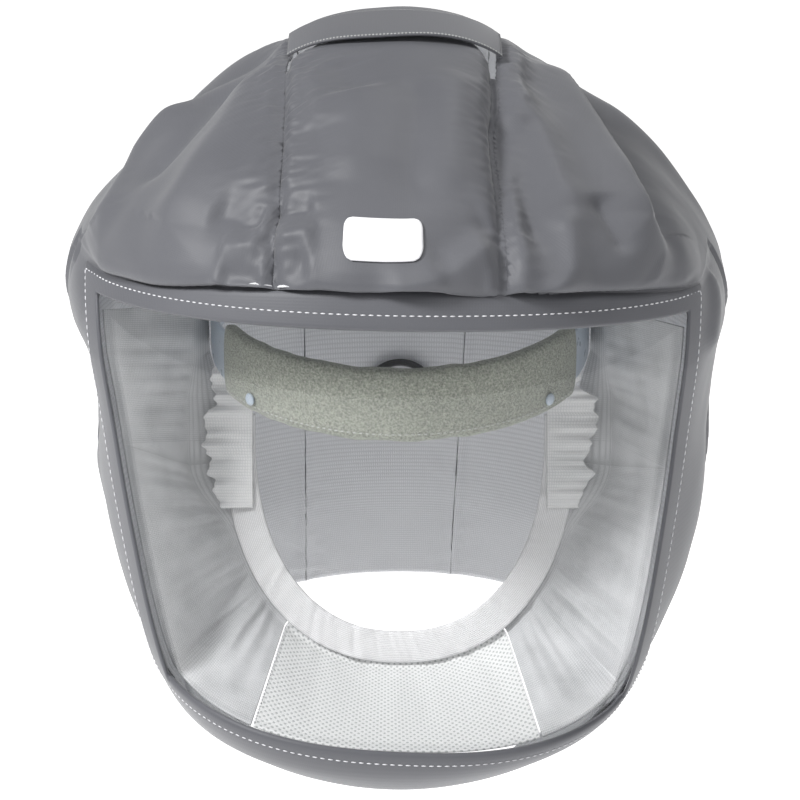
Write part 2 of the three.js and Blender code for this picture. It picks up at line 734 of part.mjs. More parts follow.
// A fastening stud on the sweatband's front.
function stud(side) {
  const profile = [[0, 0], [studRadius, 0], [studRadius, studHeight * 0.5], [studRadius * 0.6, studHeight], [0, studHeight]];
  const geometry = new THREE.LatheGeometry(profile.map(([r, h]) => new THREE.Vector2(r, h)), 12);
  const angle = side * studAngle * degrees;
  const out = padWall / 2 + stackGap;
  const normal = new THREE.Vector3(Math.sin(angle) / bandHalfWidth, -Math.cos(angle) / bandHalfLength, 0).normalize();
  geometry.applyQuaternion(new THREE.Quaternion().setFromUnitVectors(new THREE.Vector3(0, 1, 0), normal));
  const foot = new THREE.Vector3(bandHalfWidth * Math.sin(angle), -bandHalfLength * Math.cos(angle), padBottom + studRise);
  foot.addScaledVector(normal, out);
  return geometry.translate(foot.x, foot.y, foot.z);
}

// The neck cuff: a strip of nonwoven inside the front of the hem that shows below it.
function neckCuff() {
  const face = (depth) => grid(3, 24, (s, t) => {
    const angle = mix(-cuffSpread, cuffSpread, s) * degrees;
    const show = cuffShow * Math.sin(Math.PI * s) ** 0.4;
    return hoodPoint(angle, levelOf(-hemDrop + mix(-show, cuffHeight, t)), -(clothWall + cuffGap + depth));
  });
  return wallGeometry(face(0), face(cuffWall));
}

// The air inlet: a collar with a flange against the back panel, open all the way through.
function airInlet() {
  const outer = inletBore + inletWall;
  const profile = [
    [inletBore, -inletLength * 0.35],
    [outer, -inletLength * 0.35],
    [outer, 0],
    [inletFlange, 0],
    [inletFlange, inletFlangeWall],
    [outer, inletFlangeWall],
    [outer, inletLength * 0.65],
    [inletBore, inletLength * 0.65],
    [inletBore, -inletLength * 0.35],
  ];
  const geometry = new THREE.LatheGeometry(profile.map(([r, h]) => new THREE.Vector2(r, h)), 24);
  geometry.translate(0, inletStandOff, 0);
  geometry.applyQuaternion(new THREE.Quaternion().setFromUnitVectors(new THREE.Vector3(0, 1, 0), inletAxis));
  return geometry.translate(inletSeat.x, inletSeat.y, inletSeat.z);
}
const inletStandOff = 4;

const model = new THREE.Group();
function add(name, geometry, look) {
  const mesh = new THREE.Mesh(geometry, new THREE.MeshStandardMaterial(look));
  mesh.name = name;
  model.add(mesh);
}

add('visor_surround', toGeometry(visorSurround()), CLOTH);
add('side_panel_left', toGeometry(sidePanel(-1)), CLOTH);
add('side_panel_right', toGeometry(sidePanel(1)), CLOTH);
add('front_panel', toGeometry(centrePanel(true)), CLOTH);
add('back_panel', toGeometry(centrePanel(false)), CLOTH);
add('top_band', topBand(), CLOTH);
add('label', label(), NONWOVEN);
add('visor', toGeometry(visor()), VISOR);
add('face_seal_left', sealPanel({
  from: 0.3, to: chinFrom - seamShare, pathAt: sidePath(-1), gathers: gathersPerSide, columns: 32,
}), SEAL);
add('chin_panel', sealPanel({
  from: chinFrom + seamShare, to: chinTo - seamShare, pathAt: underChin, gathers: chinPanelGathers, columns: 16,
}), NONWOVEN);
add('face_seal_right', sealPanel({
  from: chinTo + seamShare, to: 21.7, pathAt: sidePath(1), gathers: gathersPerSide, columns: 32,
}), SEAL);
add('seal_elastic', elastic(), ELASTIC);
add('temple_gusset_left', gusset(-1), NONWOVEN);
add('temple_gusset_right', gusset(1), NONWOVEN);
add('headband', headbandSolid(0), BAND_PLASTIC);
add('sweatband', toGeometry(sweatband()), FOAM);
add('sweatband_stud_left', stud(-1), BAND_PLASTIC);
add('sweatband_stud_right', stud(1), BAND_PLASTIC);
add('neck_cuff', neckCuff(), NONWOVEN);
add('air_inlet', airInlet(), INLET_PLASTIC);

export default model;
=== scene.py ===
"""Looks for a loose-fitting respirator head cover: a sewn hood of coated cloth with a clear visor, a
gathered face seal on an elastic, a headband with a foam sweatband and a collar for a breathing tube.

Lengths are millimetres until finish_piece turns them into metres. -Y looks out of the visor and +Z is up."""
import math

import bmesh
import bpy
import numpy as np
from mathutils import Matrix, Vector, noise


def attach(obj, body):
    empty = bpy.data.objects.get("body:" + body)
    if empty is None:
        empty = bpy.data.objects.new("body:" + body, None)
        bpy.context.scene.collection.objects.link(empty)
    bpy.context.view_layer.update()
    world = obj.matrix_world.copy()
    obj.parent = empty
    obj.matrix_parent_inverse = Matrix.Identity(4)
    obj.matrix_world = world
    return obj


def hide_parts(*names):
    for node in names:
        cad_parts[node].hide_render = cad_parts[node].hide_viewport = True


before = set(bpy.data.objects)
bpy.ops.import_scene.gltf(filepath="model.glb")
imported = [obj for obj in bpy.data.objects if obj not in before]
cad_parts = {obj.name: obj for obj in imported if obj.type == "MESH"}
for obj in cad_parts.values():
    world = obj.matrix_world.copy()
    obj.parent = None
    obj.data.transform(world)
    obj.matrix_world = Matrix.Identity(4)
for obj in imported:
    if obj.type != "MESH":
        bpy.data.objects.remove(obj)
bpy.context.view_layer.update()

# Hood, as the solids have it
HOOD_HALF_WIDTH = 144
FRONT_REACH = 150
BACK_REACH = 132
CROWN_HEIGHT = 143
SHOULDER_HEIGHT = 24
HEM_DROP = 150
LEFT_SEAM = -46
RIGHT_SEAM_LOW, RIGHT_SEAM_HIGH = 37, 42
SHELL_WALL = 1.1
HEM_WALL = 1.5

# Window corners seen from the front, the upper ones a little lower than in the solids, and how far its edges bow
WINDOW_CORNERS = [(-122, 48), (-95, -103), (92, -114), (115, 45)]
WINDOW_TOP, WINDOW_BOTTOM = 58, -112
WINDOW_SIDE_BOW = 7
STITCH_INSET = 5.5
STITCH_PITCH = 3.1

# Label: its size seen from the front and its middle
LABEL_HALF_WIDTH, LABEL_HALF_RISE, LABEL_CORNER = 14, 5, 3
LABEL_X, LABEL_Z = -6, 91

# Face plane and elastic
FACE_SETBACK = 12
FACE_LEAN = math.radians(21.7)
ELASTIC_HALF_WIDTH = 75
ELASTIC_SHOULDER = 30
ELASTIC_DROP = 128
ELASTIC_TOP = 22
ELASTIC_POWER = 2.25
ELASTIC_WIDTH = 13.5
CHIN_TURNS = (-38, 35)
CHIN_PLACES = (8.4, 13.6)
SEAL_START, SEAL_STOP = 0.3, 21.7
SEAM_SHARE = 0.02

# Headband
BAND_HALF_WIDTH = 80
BAND_HALF_LENGTH = 98

# Level sections of the hood: height, half width, where it is widest, front, back and the two powers.
SECTIONS = np.array([
    (-1.0, 0.64, 0.0, -0.747, 0.727, 1.7, 2.2),
    (-0.893, 0.68, -0.04, -0.913, 0.773, 2.1, 2.2),
    (-0.773, 0.725, -0.08, -0.993, 0.818, 2.6, 2.2),
    (-0.567, 0.83, -0.053, -1.0, 0.879, 2.4, 2.2),
    (-0.267, 0.9, 0.0, -0.967, 0.939, 2.2, 2.2),
    (-0.033, 0.951, 0.04, -0.933, 0.977, 2.05, 2.2),
    (1.0, 1.0, 0.067, -0.913, 1.0, 2.0, 2.1),
])
ROWS = SECTIONS * (1, HOOD_HALF_WIDTH, FRONT_REACH, FRONT_REACH, BACK_REACH, 1, 1)
ROWS[:, 0] *= np.where(SECTIONS[:, 0] < 0, HEM_DROP, SHOULDER_HEIGHT)
SHOULDER_LEVEL = 0.55

# Width of the hood's sides as shares of its half width: level, left and right. The solids have no such shares.
SIDES = np.array([
    (0, 1, 1.06), (0.12, 0.995, 1.08), (0.24, 1.008, 1.04), (0.34, 1.015, 1.05), (0.42, 0.98, 1.003),
    (0.5, 0.955, 0.978), (0.58, 1, 0.971), (0.64, 0.99, 0.925), (0.69, 0.94, 0.862), (0.75, 0.925, 0.758),
    (0.82, 0.755, 0.675), (0.88, 0.825, 0.737), (0.94, 0.94, 0.858), (1, 1.04, 0.98),
])

# Folds drawn along lines of (angle, level): height, spread to the line's left and right as it runs,
# and the line. Angle 0 is in front and 90 at the right, in degrees; level is 0 at the hem and 1 on top.
FOLDS = [
    (6.0, 22, 14, [(-86, 0.843), (-70, 0.81), (-58, 0.78), (-50, 0.735), (-47, 0.698), (-48, 0.667)]),
    (-4.5, 10, 10, [(-95, 0.8), (-83, 0.78), (-74, 0.76), (-70, 0.74), (-69, 0.718), (-68, 0.695)]),
    (4.0, 10, 12, [(-94, 0.775), (-90, 0.745), (-86, 0.715), (-79, 0.688), (-70, 0.672), (-66, 0.65)]),
    (-3.0, 5, 9, [(-27, 0.723), (-32, 0.72), (-40, 0.718)]),
    (2.2, 6, 5, [(-26, 0.708), (-29, 0.703), (-34, 0.695)]),
    (-2.6, 5, 6, [(-24, 0.69), (-29, 0.685), (-32, 0.68)]),
    (2.0, 5, 4, [(-23, 0.677), (-30, 0.675), (-34, 0.672)]),
    (3.0, 14, 14, [(-79, 0.64), (-72, 0.613), (-63, 0.585)]),
    (-2.5, 5, 5, [(-64, 0.62), (-60, 0.595), (-58, 0.565)]),
    (8.5, 7, 22, [(107, 0.825), (104, 0.81), (94, 0.79), (83, 0.768), (76, 0.75), (68, 0.733), (59, 0.715),
                  (52, 0.69), (52, 0.667), (54, 0.647)]),
    (-6.0, 14, 7, [(96, 0.775), (92, 0.753), (82, 0.735), (74, 0.718), (62, 0.7), (57, 0.675), (57, 0.652)]),
    (3.5, 12, 8, [(63, 0.858), (62, 0.825), (57, 0.795), (51, 0.768), (44, 0.74), (40, 0.718), (37, 0.695)]),
    (-4.5, 8, 8, [(52, 0.82), (41, 0.777), (33, 0.738), (28, 0.708), (24, 0.69)]),
    (3.0, 9, 4, [(37, 0.725), (34, 0.705), (30, 0.685), (25, 0.672), (20, 0.672)]),
    (-2.5, 6, 5, [(47, 0.72), (44, 0.7), (42, 0.675)]),
    (3.5, 9, 7, [(74, 0.615), (70, 0.593), (65, 0.565), (63, 0.535)]),
    (-4.0, 6, 6, [(58, 0.638), (58, 0.608), (58, 0.58), (58, 0.55)]),
    (-2.5, 12, 12, [(-40, 0.902), (-27, 0.88), (-22, 0.86)]),
    (2.0, 12, 10, [(-51, 0.88), (-37, 0.853), (-30, 0.807)]),
    (-2.2, 9, 9, [(10, 0.893), (8, 0.83), (4, 0.775), (5, 0.733)]),
    (2.2, 12, 12, [(34, 0.9), (25, 0.835), (15, 0.782), (13, 0.745)]),
    (2.0, 14, 12, [(-20, 0.883), (-16, 0.815), (-12, 0.765)]),
    (3.4, 5, 7, [(20, 0.713), (15, 0.71), (9, 0.7), (2, 0.688), (-4, 0.682)]),
    (-2.6, 6, 7, [(22, 0.728), (16, 0.723), (10, 0.713), (5, 0.7)]),
    (-2.4, 4, 6, [(16, 0.685), (12, 0.682), (7, 0.677)]),
    (-2.2, 6, 5, [(-28, 0.733), (-23, 0.735), (-18, 0.743)]),
    (-2.8, 6, 5, [(-23, 0.688), (-20, 0.695), (-16, 0.705)]),
    (2.0, 6, 6, [(-25, 0.71), (-20, 0.718), (-16, 0.725)]),
    (-5.0, 14, 12, [(-116, 0.9), (-114, 0.75), (-108, 0.6), (-106, 0.42)]),
    (4.5, 16, 14, [(-136, 0.9), (-134, 0.7), (-128, 0.5), (-128, 0.25)]),
    (-3.5, 12, 12, [(-156, 0.85), (-154, 0.6), (-150, 0.35)]),
    (4.5, 14, 14, [(116, 0.9), (112, 0.72), (106, 0.55), (104, 0.38)]),
    (-4.5, 13, 13, [(134, 0.88), (130, 0.7), (126, 0.48), (124, 0.26)]),
    (4.0, 16, 16, [(156, 0.86), (152, 0.6), (150, 0.3)]),
    (3.0, 12, 12, [(-86, 0.4), (-90, 0.26), (-84, 0.1)]),
    (-3.0, 10, 10, [(84, 0.44), (80, 0.3), (84, 0.12)]),
]

FOLD_STRENGTH = 1.15

# How the crown's cloth rolls out over the brow: height above the seam, then how far down it sags and how
# far out it stands there. The roll is full at the left and the middle and fades to the right.
BROW_ROLL = np.array([
    (-3, 0, -1.6), (0, 0, -0.8), (1.6, 4.4, 0.8), (3.2, 8.8, 2.4), (4.8, 11.2, 4.4), (6.4, 11.2, 5.7),
    (9, 9.4, 6.4), (13, 6.2, 6.0), (18, 3.8, 4.9), (26, 1.8, 3.0), (36, 0.5, 1.1), (46, 0, 0),
])
BROW_FADE = np.array([(-128, 0.1), (-118, 0.45), (-95, 0.7), (-60, 0.85), (-30, 0.9), (0, 0.95), (30, 1), (60, 0.85),
                      (90, 0.55), (112, 0.3), (122, 0.1)])


def clamp(value):
    return np.clip(value, 0, 1)


def mix(a, b, t):
    return a + (b - a) * t


def smooth(t):
    t = clamp(t)
    return t * t * (3 - 2 * t)


# The hood's surface

def section_at(level):
    """One row of z, half width, widest, front, back, front power and back power for each level."""
    level = np.asarray(level, float)
    place = np.minimum(level, SHOULDER_LEVEL) / SHOULDER_LEVEL * (len(ROWS) - 1)
    i = np.clip(np.floor(place), 0, len(ROWS) - 2).astype(int)
    t = (place - i)[:, None]
    p1, p2 = ROWS[i], ROWS[i + 1]
    p0 = np.where((i > 0)[:, None], ROWS[np.maximum(i - 1, 0)], 2 * p1 - p2)
    p3 = np.where((i + 2 < len(ROWS))[:, None], ROWS[np.minimum(i + 2, len(ROWS) - 1)], 2 * p2 - p1)
    rows = 0.5 * (2 * p1 + (p2 - p0) * t + (2 * p0 - 5 * p1 + 4 * p2 - p3) * t**2
                  + (3 * p1 - p0 - 3 * p2 + p3) * t**3)
    turn = clamp((level - SHOULDER_LEVEL) / (1 - SHOULDER_LEVEL)) * np.pi / 2
    out, up = np.maximum(np.cos(turn), 0), np.sin(turn)
    last = ROWS[-1]
    wide = last[2] + 0.053 * FRONT_REACH * up
    dome = np.stack([
        SHOULDER_HEIGHT + (CROWN_HEIGHT - SHOULDER_HEIGHT) * up,
        last[1] * out * (1 - 0.06 * np.sin(2 * turn) ** 2),
        wide,
        wide + (last[3] - last[2]) * out**0.88,
        wide + (last[4] - last[2]) * out**0.95,
        np.full_like(up, last[5]),
        np.full_like(up, last[6]),
    ], axis=1)
    return np.where((level > SHOULDER_LEVEL)[:, None], dome, rows)


def side_share(angle, level):
    """How much wider or slimmer a side is than its section. Low down it fades to the front and back."""
    columns = np.where(np.sin(angle) < 0, 1, 2)
    levels = SIDES[:, 0]
    slopes = np.gradient(SIDES[:, 1:], axis=0) / np.gradient(levels)[:, None]
    i = np.clip(np.searchsorted(levels, level, side="right") - 1, 0, len(levels) - 2)
    span = levels[i + 1] - levels[i]
    t = clamp((level - levels[i]) / span)
    share = (SIDES[i, columns] * (2 * t**3 - 3 * t**2 + 1) + slopes[i, columns - 1] * span * (t**3 - 2 * t**2 + t)
             + SIDES[i + 1, columns] * (3 * t**2 - 2 * t**3) + slopes[i + 1, columns - 1] * span * (t**3 - t**2))
    flank = smooth((np.abs(np.sin(angle)) - 0.85) / 0.15)
    return 1 + (share - 1) * mix(flank, 1, smooth((level - 0.66) / 0.1))


def plain(angle, level):
    """Points of the hood's outer face without its folds. Angles are radians."""
    s = section_at(level)
    ahead = np.cos(angle) > 0
    power = np.where(ahead, s[:, 5], s[:, 6])
    depth = np.where(ahead, s[:, 3], s[:, 4]) - s[:, 2]
    c, a = np.abs(np.cos(angle)), np.abs(np.sin(angle))
    reach = (c**power + a**power) ** (-1 / power)
    half = s[:, 1] * side_share(angle, level)
    return np.stack([half * reach * np.sin(angle), s[:, 2] + depth * reach * c, s[:, 0]], axis=1)


def unit(vectors):
    return vectors / np.maximum(np.linalg.norm(vectors, axis=1), 1e-9)[:, None]


def plain_normal(angle, level):
    step = 0.004
    level = np.minimum(level, 0.985)
    along = plain(angle + step, level) - plain(angle - step, level)
    up = plain(angle, level + step) - plain(angle, level - step)
    return unit(np.cross(along, up))


LEVELS = np.linspace(-0.04, 0.9995, 4000)
LEVEL_HEIGHTS = section_at(LEVELS)[:, 0]


def level_of(z):
    return np.interp(z, LEVEL_HEIGHTS, LEVELS)


def angle_of(points, level):
    """The angle of points that lie on the plain hood."""
    s = section_at(level)
    y = points[:, 1] - s[:, 2]
    depth = np.where(y < 0, s[:, 3] - s[:, 2], s[:, 2] - s[:, 4])
    angle = np.arctan2(points[:, 0] / s[:, 1], y / depth)
    for _ in range(14):
        half = s[:, 1] * side_share(angle, level)
        angle = mix(angle, np.arctan2(points[:, 0] / half, y / depth), 0.8)
    return angle


def front_angle(x, z):
    """Angle and level of the plain front at x and z."""
    level = level_of(z)
    s = section_at(level)
    angle = np.sign(x) * 0.5
    for _ in range(14):
        share = clamp(np.abs(x) / (s[:, 1] * side_share(angle, level)))
        ahead = (1 - share ** s[:, 5]) ** (1 / s[:, 5])
        angle = mix(angle, np.arctan2(np.sign(x) * share, ahead), 0.8)
    return angle, level


def front_point(x, z, out):
    x, z = np.broadcast_arrays(np.asarray(x, float), np.asarray(z, float))
    angle, level = front_angle(x, z)
    return plain(angle, level) + plain_normal(angle, level) * np.asarray(out, float).reshape(-1, 1)


# Folds

def line_points(line):
    return plain(np.radians([p[0] for p in line]), np.array([p[1] for p in line]))


def from_line(points, normals, line):
    """Distance from a line of the hood, positive at its left, and the share of the line passed."""
    best = np.full(len(points), 1e9)
    side = np.ones(len(points))
    passed = np.zeros(len(points))
    steps = np.linalg.norm(np.diff(line, axis=0), axis=1)
    total = steps.sum()
    before = 0
    for a, b, length in zip(line[:-1], line[1:], steps):
        along = (b - a) / length
        rest = points - a
        t = clamp(rest @ along / length)
        gap = rest - t[:, None] * (b - a)
        distance = np.linalg.norm(gap, axis=1)
        near = distance < best
        best = np.where(near, distance, best)
        left = np.cross(normals, along)
        side = np.where(near, np.where(np.sum(left * gap, axis=1) >= 0, 1, -1), side)
        passed = np.where(near, (before + t * length) / total, passed)
        before += length
    return best * side, passed


FOLD_LINES = [(h, left, right, line_points(line)) for h, left, right, line in FOLDS]


def fold_height(points, normals):
    """Height of the folds at points of the plain hood."""
    height = np.zeros(len(points))
    for rise, left, right, line in FOLD_LINES:
        far = 3 * max(left, right)
        low, high = line.min(axis=0) - far, line.max(axis=0) + far
        near = np.all((points > low) & (points < high), axis=1)
        if not near.any():
            continue
        d, t = from_line(points[near], normals[near], line)
        spread = np.where(d > 0, left, right)
        ends = smooth(t / 0.2) * smooth((1 - t) / 0.22)
        height[near] += FOLD_STRENGTH * rise * ends * np.exp(-np.abs(d / spread) ** 1.7)
    return height


def brow_seam(x):
    """Height of the seam between the crown and the brow strip."""
    ring = window_outline(0, (8, 8, 8, 60))
    rim = grown(ring, surround_widths(ring))[24:]
    return np.interp(x, rim[::-1, 0], rim[::-1, 1])


def brow_roll(points):
    """How far the cloth above the brow stands out and sags."""
    above = points[:, 2] - brow_seam(points[:, 0])
    fade = np.interp(points[:, 0], BROW_FADE[:, 0], BROW_FADE[:, 1]) * smooth(-points[:, 1] / 30)
    lumps = 1 + 0.16 * ripples(np.stack([points[:, 0], np.zeros(len(points)), np.zeros(len(points))], axis=1), 17, 6)
    sag = np.interp(above, BROW_ROLL[:, 0], BROW_ROLL[:, 1]) * fade * lumps
    rise = np.interp(above, BROW_ROLL[:, 0], BROW_ROLL[:, 2])
    return np.where(rise > 0, rise * fade * lumps, rise * (points[:, 1] < 0)), sag


def ripples(points, scale, seed):
    """Smooth noise from -1 to 1 at the points, with lumps scale mm across."""
    shift = Vector((seed * 17.3, seed * 5.1, seed * 9.7))
    return np.array([noise.noise(Vector(p / scale) + shift) for p in points])


def right_seam_x(z):
    return RIGHT_SEAM_LOW + (RIGHT_SEAM_HIGH - RIGHT_SEAM_LOW) * (z - WINDOW_TOP) / (CROWN_HEIGHT - WINDOW_TOP)


def seam_tuck(points, inside):
    """How the cloth dives into the two crown seams and puckers beside them."""
    z = points[:, 2]
    height = np.zeros(len(points))
    in_front = smooth((30 - points[:, 1]) / 20)
    for seam_x, depth, width, pucker, seed in (
        (np.full(len(points), LEFT_SEAM), 2.6, 2.6, 1.5, 1),
        (right_seam_x(z), 3.4, 3.4, 0.9, 2),
    ):
        d = points[:, 0] - seam_x
        dive = depth * np.exp(-((d / width) ** 2))
        near = np.abs(d) < 26
        gather = np.zeros(len(points))
        if near.any():
            run = np.stack([points[near, 1] * 0.35, z[near] * 0.35, d[near] * 0.07], axis=1)
            lumps = ripples(run, 1.0, seed) * 1.6
            fade = np.exp(-np.abs(d[near]) / 8) * (1 - np.exp(-((d[near] / 1.2) ** 2)))
            gather[near] = pucker * lumps * fade * mix(0.35, 1, in_front[near])
        height += gather - dive * mix(0.6, 1, in_front)
    if inside == "centre":
        deep = right_seam_x(z) - points[:, 0]
        height -= 3.0 * np.exp(-((deep / 6) ** 2)) * (1 - np.exp(-((deep / 1.2) ** 2))) * in_front
    if inside == "right":
        deep = points[:, 0] - right_seam_x(z)
        height += 1.6 * np.exp(-(((deep - 5) / 4) ** 2)) * (1 - np.exp(-((deep / 1.2) ** 2))) * in_front
    return height


def folded(points, inside="side"):
    """Points of the plain hood moved to where the folded cloth lies."""
    level = level_of(points[:, 2])
    top = points[:, 2] > CROWN_HEIGHT - 0.02
    angle = angle_of(points, level)
    normal = plain_normal(angle, level)
    normal[top] = (0, 0, 1)
    height = fold_height(points, normal)
    height += 0.5 * ripples(points, 34, 3) + 0.22 * ripples(points, 13, 4)
    height += seam_tuck(points, inside)
    rise, sag = brow_roll(points)
    away = window_distance(points)
    calm = np.where((points[:, 1] < -20) & (points[:, 2] < 66), smooth((away - 6) / 16), 1)
    height *= calm
    down = unit(np.cross(np.stack([-normal[:, 1], normal[:, 0], np.zeros(len(normal))], axis=1), normal))
    down *= np.where(down[:, 2] > 0, -1, 1)[:, None]
    return points + normal * (height + rise)[:, None] + down * sag[:, None]


# The window's outline

def window_outline(out, steps=(7, 8, 7, 8)):
    """The outline in x and z, anticlockwise from the upper left corner, grown by out mm."""
    (ax, az), (bx, bz), (cx, cz), (dx, dz) = WINDOW_CORNERS
    bends = [
        ((ax + bx) / 2 - WINDOW_SIDE_BOW, (az + bz) / 2),
        (0, WINDOW_BOTTOM * 2 - (bz + cz) / 2),
        ((cx + dx) / 2 + WINDOW_SIDE_BOW, (cz + dz) / 2),
        (0, WINDOW_TOP * 2 - (az + dz) / 2),
    ]
    points = []
    for side, start in enumerate(WINDOW_CORNERS):
        end = WINDOW_CORNERS[(side + 1) % 4]
        for i in range(steps[side]):
            t = i / steps[side]
            points.append([start[k] * (1 - t) ** 2 + 2 * bends[side][k] * t * (1 - t) + end[k] * t * t
                           for k in (0, 1)])
    return grown(np.array(points), np.full(len(points), float(out)))


def grown(points, out):
    """An anticlockwise outline moved outwards by out mm at each point."""
    before, after = np.roll(points, 1, axis=0), np.roll(points, -1, axis=0)
    a, b = unit(points - before), unit(after - points)
    side = unit(np.stack([a[:, 1] + b[:, 1], -a[:, 0] - b[:, 0]], axis=1))
    reach = np.maximum(side[:, 0] * a[:, 1] - side[:, 1] * a[:, 0], 0.5)
    return points + side * (out / reach)[:, None]


def outline_at(outline, place):
    place = np.asarray(place, float)
    i = np.floor(place).astype(int)
    t = (place - i)[:, None]
    n = len(outline)
    return outline[i % n] * (1 - t) + outline[(i + 1) % n] * t


def within(polygon, x, z):
    """True where x and z lie inside a closed outline."""
    result = np.zeros(len(x), bool)
    for (x1, z1), (x2, z2) in zip(polygon, np.roll(polygon, -1, axis=0)):
        if z1 == z2:
            continue
        crosses = (z1 > z) != (z2 > z)
        result ^= crosses & (x < (x2 - x1) * (z - z1) / (z2 - z1) + x1)
    return result


FINE_WINDOW = window_outline(0, (40, 40, 40, 40))


def window_distance(points):
    """How far points lie outside the window's outline in x and z, for the hood's front."""
    x, z = points[:, 0], points[:, 2]
    result = np.full(len(points), 60.0)
    near = (points[:, 1] < 0)
    spots = np.stack([x[near], z[near]], axis=1)
    gaps = [np.min(np.linalg.norm(spots[k:k + 4000, None] - FINE_WINDOW[None], axis=2), axis=1)
            for k in range(0, len(spots), 4000)]
    if gaps:
        distance = np.concatenate(gaps)
        result[near] = np.where(within(FINE_WINDOW, spots[:, 0], spots[:, 1]), 0, distance)
    return result


# Materials

def srgb(code):
    channels = [int(code[i:i + 2], 16) / 255 for i in (1, 3, 5)]
    return tuple(c / 12.92 if c <= 0.04045 else ((c + 0.055) / 1.055) ** 2.4 for c in channels) + (1,)


def node(tree, kind, settings=None, **links):
    """Adds a node, sets its settings and sockets, and links its inputs to other nodes' outputs."""
    made = tree.nodes.new(kind)
    for name, value in (settings or {}).items():
        if isinstance(name, int) or name in made.inputs:
            made.inputs[name].default_value = value
        else:
            setattr(made, name, value)
    for name, source in links.items():
        key = name.replace("_", " ")
        target = made.inputs[int(key[1:])] if key[0] == "i" and key[1:].isdigit() else made.inputs[key]
        tree.links.new(source, target)
    return made


def material(name, **shader):
    """A material with one Principled shader, whose sockets are set here."""
    made = bpy.data.materials.new(name)
    made.use_nodes = True
    tree = made.node_tree
    tree.nodes.clear()
    output = tree.nodes.new("ShaderNodeOutputMaterial")
    principled = node(tree, "ShaderNodeBsdfPrincipled", shader)
    tree.links.new(principled.outputs["BSDF"], output.inputs["Surface"])
    return made, tree, principled


def ramp(tree, source, stops):
    made = node(tree, "ShaderNodeValToRGB", Fac=source)
    ends = made.color_ramp.elements
    while len(ends) < len(stops):
        ends.new(0.5)
    for end, (place, colour) in zip(ends, stops):
        end.position = place
        end.color = colour if isinstance(colour, tuple) else (colour, colour, colour, 1)
    return made.outputs["Color"]


def bump(tree, principled, height, strength, distance, below=None):
    made = node(tree, "ShaderNodeBump", {"Strength": strength, "Distance": distance}, Height=height)
    if below is not None:
        tree.links.new(below, made.inputs["Normal"])
    tree.links.new(made.outputs["Normal"], principled.inputs["Normal"])
    return made.outputs["Normal"]


def speckle(tree, place, scale, detail):
    """Noise on the piece's own coordinates."""
    made = node(tree, "ShaderNodeTexNoise", {"Scale": scale, "Detail": detail}, Vector=place.outputs["Object"])
    return made.outputs["Fac"]


def woven(tree, vector, pitch):
    """Height of a plain weave whose threads lie pitch metres apart on the piece's own UV map."""
    turns = 2 * math.pi / pitch / 2
    parts = node(tree, "ShaderNodeSeparateXYZ", Vector=vector)
    waves = []
    for axis in ("X", "Y"):
        scaled = node(tree, "ShaderNodeMath", {"operation": "MULTIPLY", 1: turns}, i0=parts.outputs[axis])
        waves.append(node(tree, "ShaderNodeMath", {"operation": "SINE"}, i0=scaled.outputs[0]).outputs[0])
    product = node(tree, "ShaderNodeMath", {"operation": "MULTIPLY"}, i0=waves[0], i1=waves[1])
    return node(tree, "ShaderNodeMath", {"operation": "ABSOLUTE"}, i0=product.outputs[0]).outputs[0]


def shell_cloth():
    """Polyester knit with a polyurethane coating: matt, almost smooth, with a faint knit showing through
    and a soft sheen where it turns away."""
    made, tree, shader = material("coated_knit", **{
        "Roughness": 0.5, "Sheen Weight": 0.25, "Sheen Roughness": 0.45, "Specular IOR Level": 0.38})
    place = node(tree, "ShaderNodeTexCoord")
    blotch = speckle(tree, place, 9.0, 4.0)
    colour = ramp(tree, blotch, [(0.3, srgb("#56575c")), (0.7, srgb("#606166"))])
    tree.links.new(colour, shader.inputs["Base Color"])
    knit = woven(tree, place.outputs["UV"], 0.0011)
    grain = speckle(tree, place, 900.0, 2.0)
    rough = ramp(tree, blotch, [(0.3, 0.47), (0.75, 0.56)])
    tree.links.new(rough, shader.inputs["Roughness"])
    first = bump(tree, shader, knit, 0.10, 0.0003)
    bump(tree, shader, grain, 0.07, 0.0003, first)
    return made


def shell_inside():
    """The knit's uncoated back: pale grey loops, fully matt."""
    made, tree, shader = material("knit_backing", **{"Roughness": 0.85, "Sheen Weight": 0.2})
    place = node(tree, "ShaderNodeTexCoord")
    loops = woven(tree, place.outputs["UV"], 0.0012)
    colour = ramp(tree, loops, [(0.0, srgb("#cccdd0")), (0.8, srgb("#e2e3e6"))])
    tree.links.new(colour, shader.inputs["Base Color"])
    bump(tree, shader, loops, 0.3, 0.0003)
    return made


def sheet_cloth(name, low, high, pitch, strength, through=0.0, rough=0.8):
    """A light woven or nonwoven cloth on its own UV map."""
    made, tree, shader = material(name, **{"Roughness": rough, "Sheen Weight": 0.15})
    place = node(tree, "ShaderNodeTexCoord")
    threads = woven(tree, place.outputs["UV"], pitch)
    patch = speckle(tree, place, 60.0, 5.0)
    blend = node(tree, "ShaderNodeMath", {"operation": "MULTIPLY_ADD", 1: 0.55, 2: 0.0}, i0=threads)
    tree.links.new(patch, blend.inputs[2])
    colour = ramp(tree, blend.outputs[0], [(0.35, srgb(low)), (0.95, srgb(high))])
    tree.links.new(colour, shader.inputs["Base Color"])
    bump(tree, shader, blend.outputs[0], strength, 0.0004)
    if through:
        shader.inputs["Subsurface Weight"].default_value = through
        shader.inputs["Subsurface Radius"].default_value = (0.004, 0.004, 0.004)
    return made


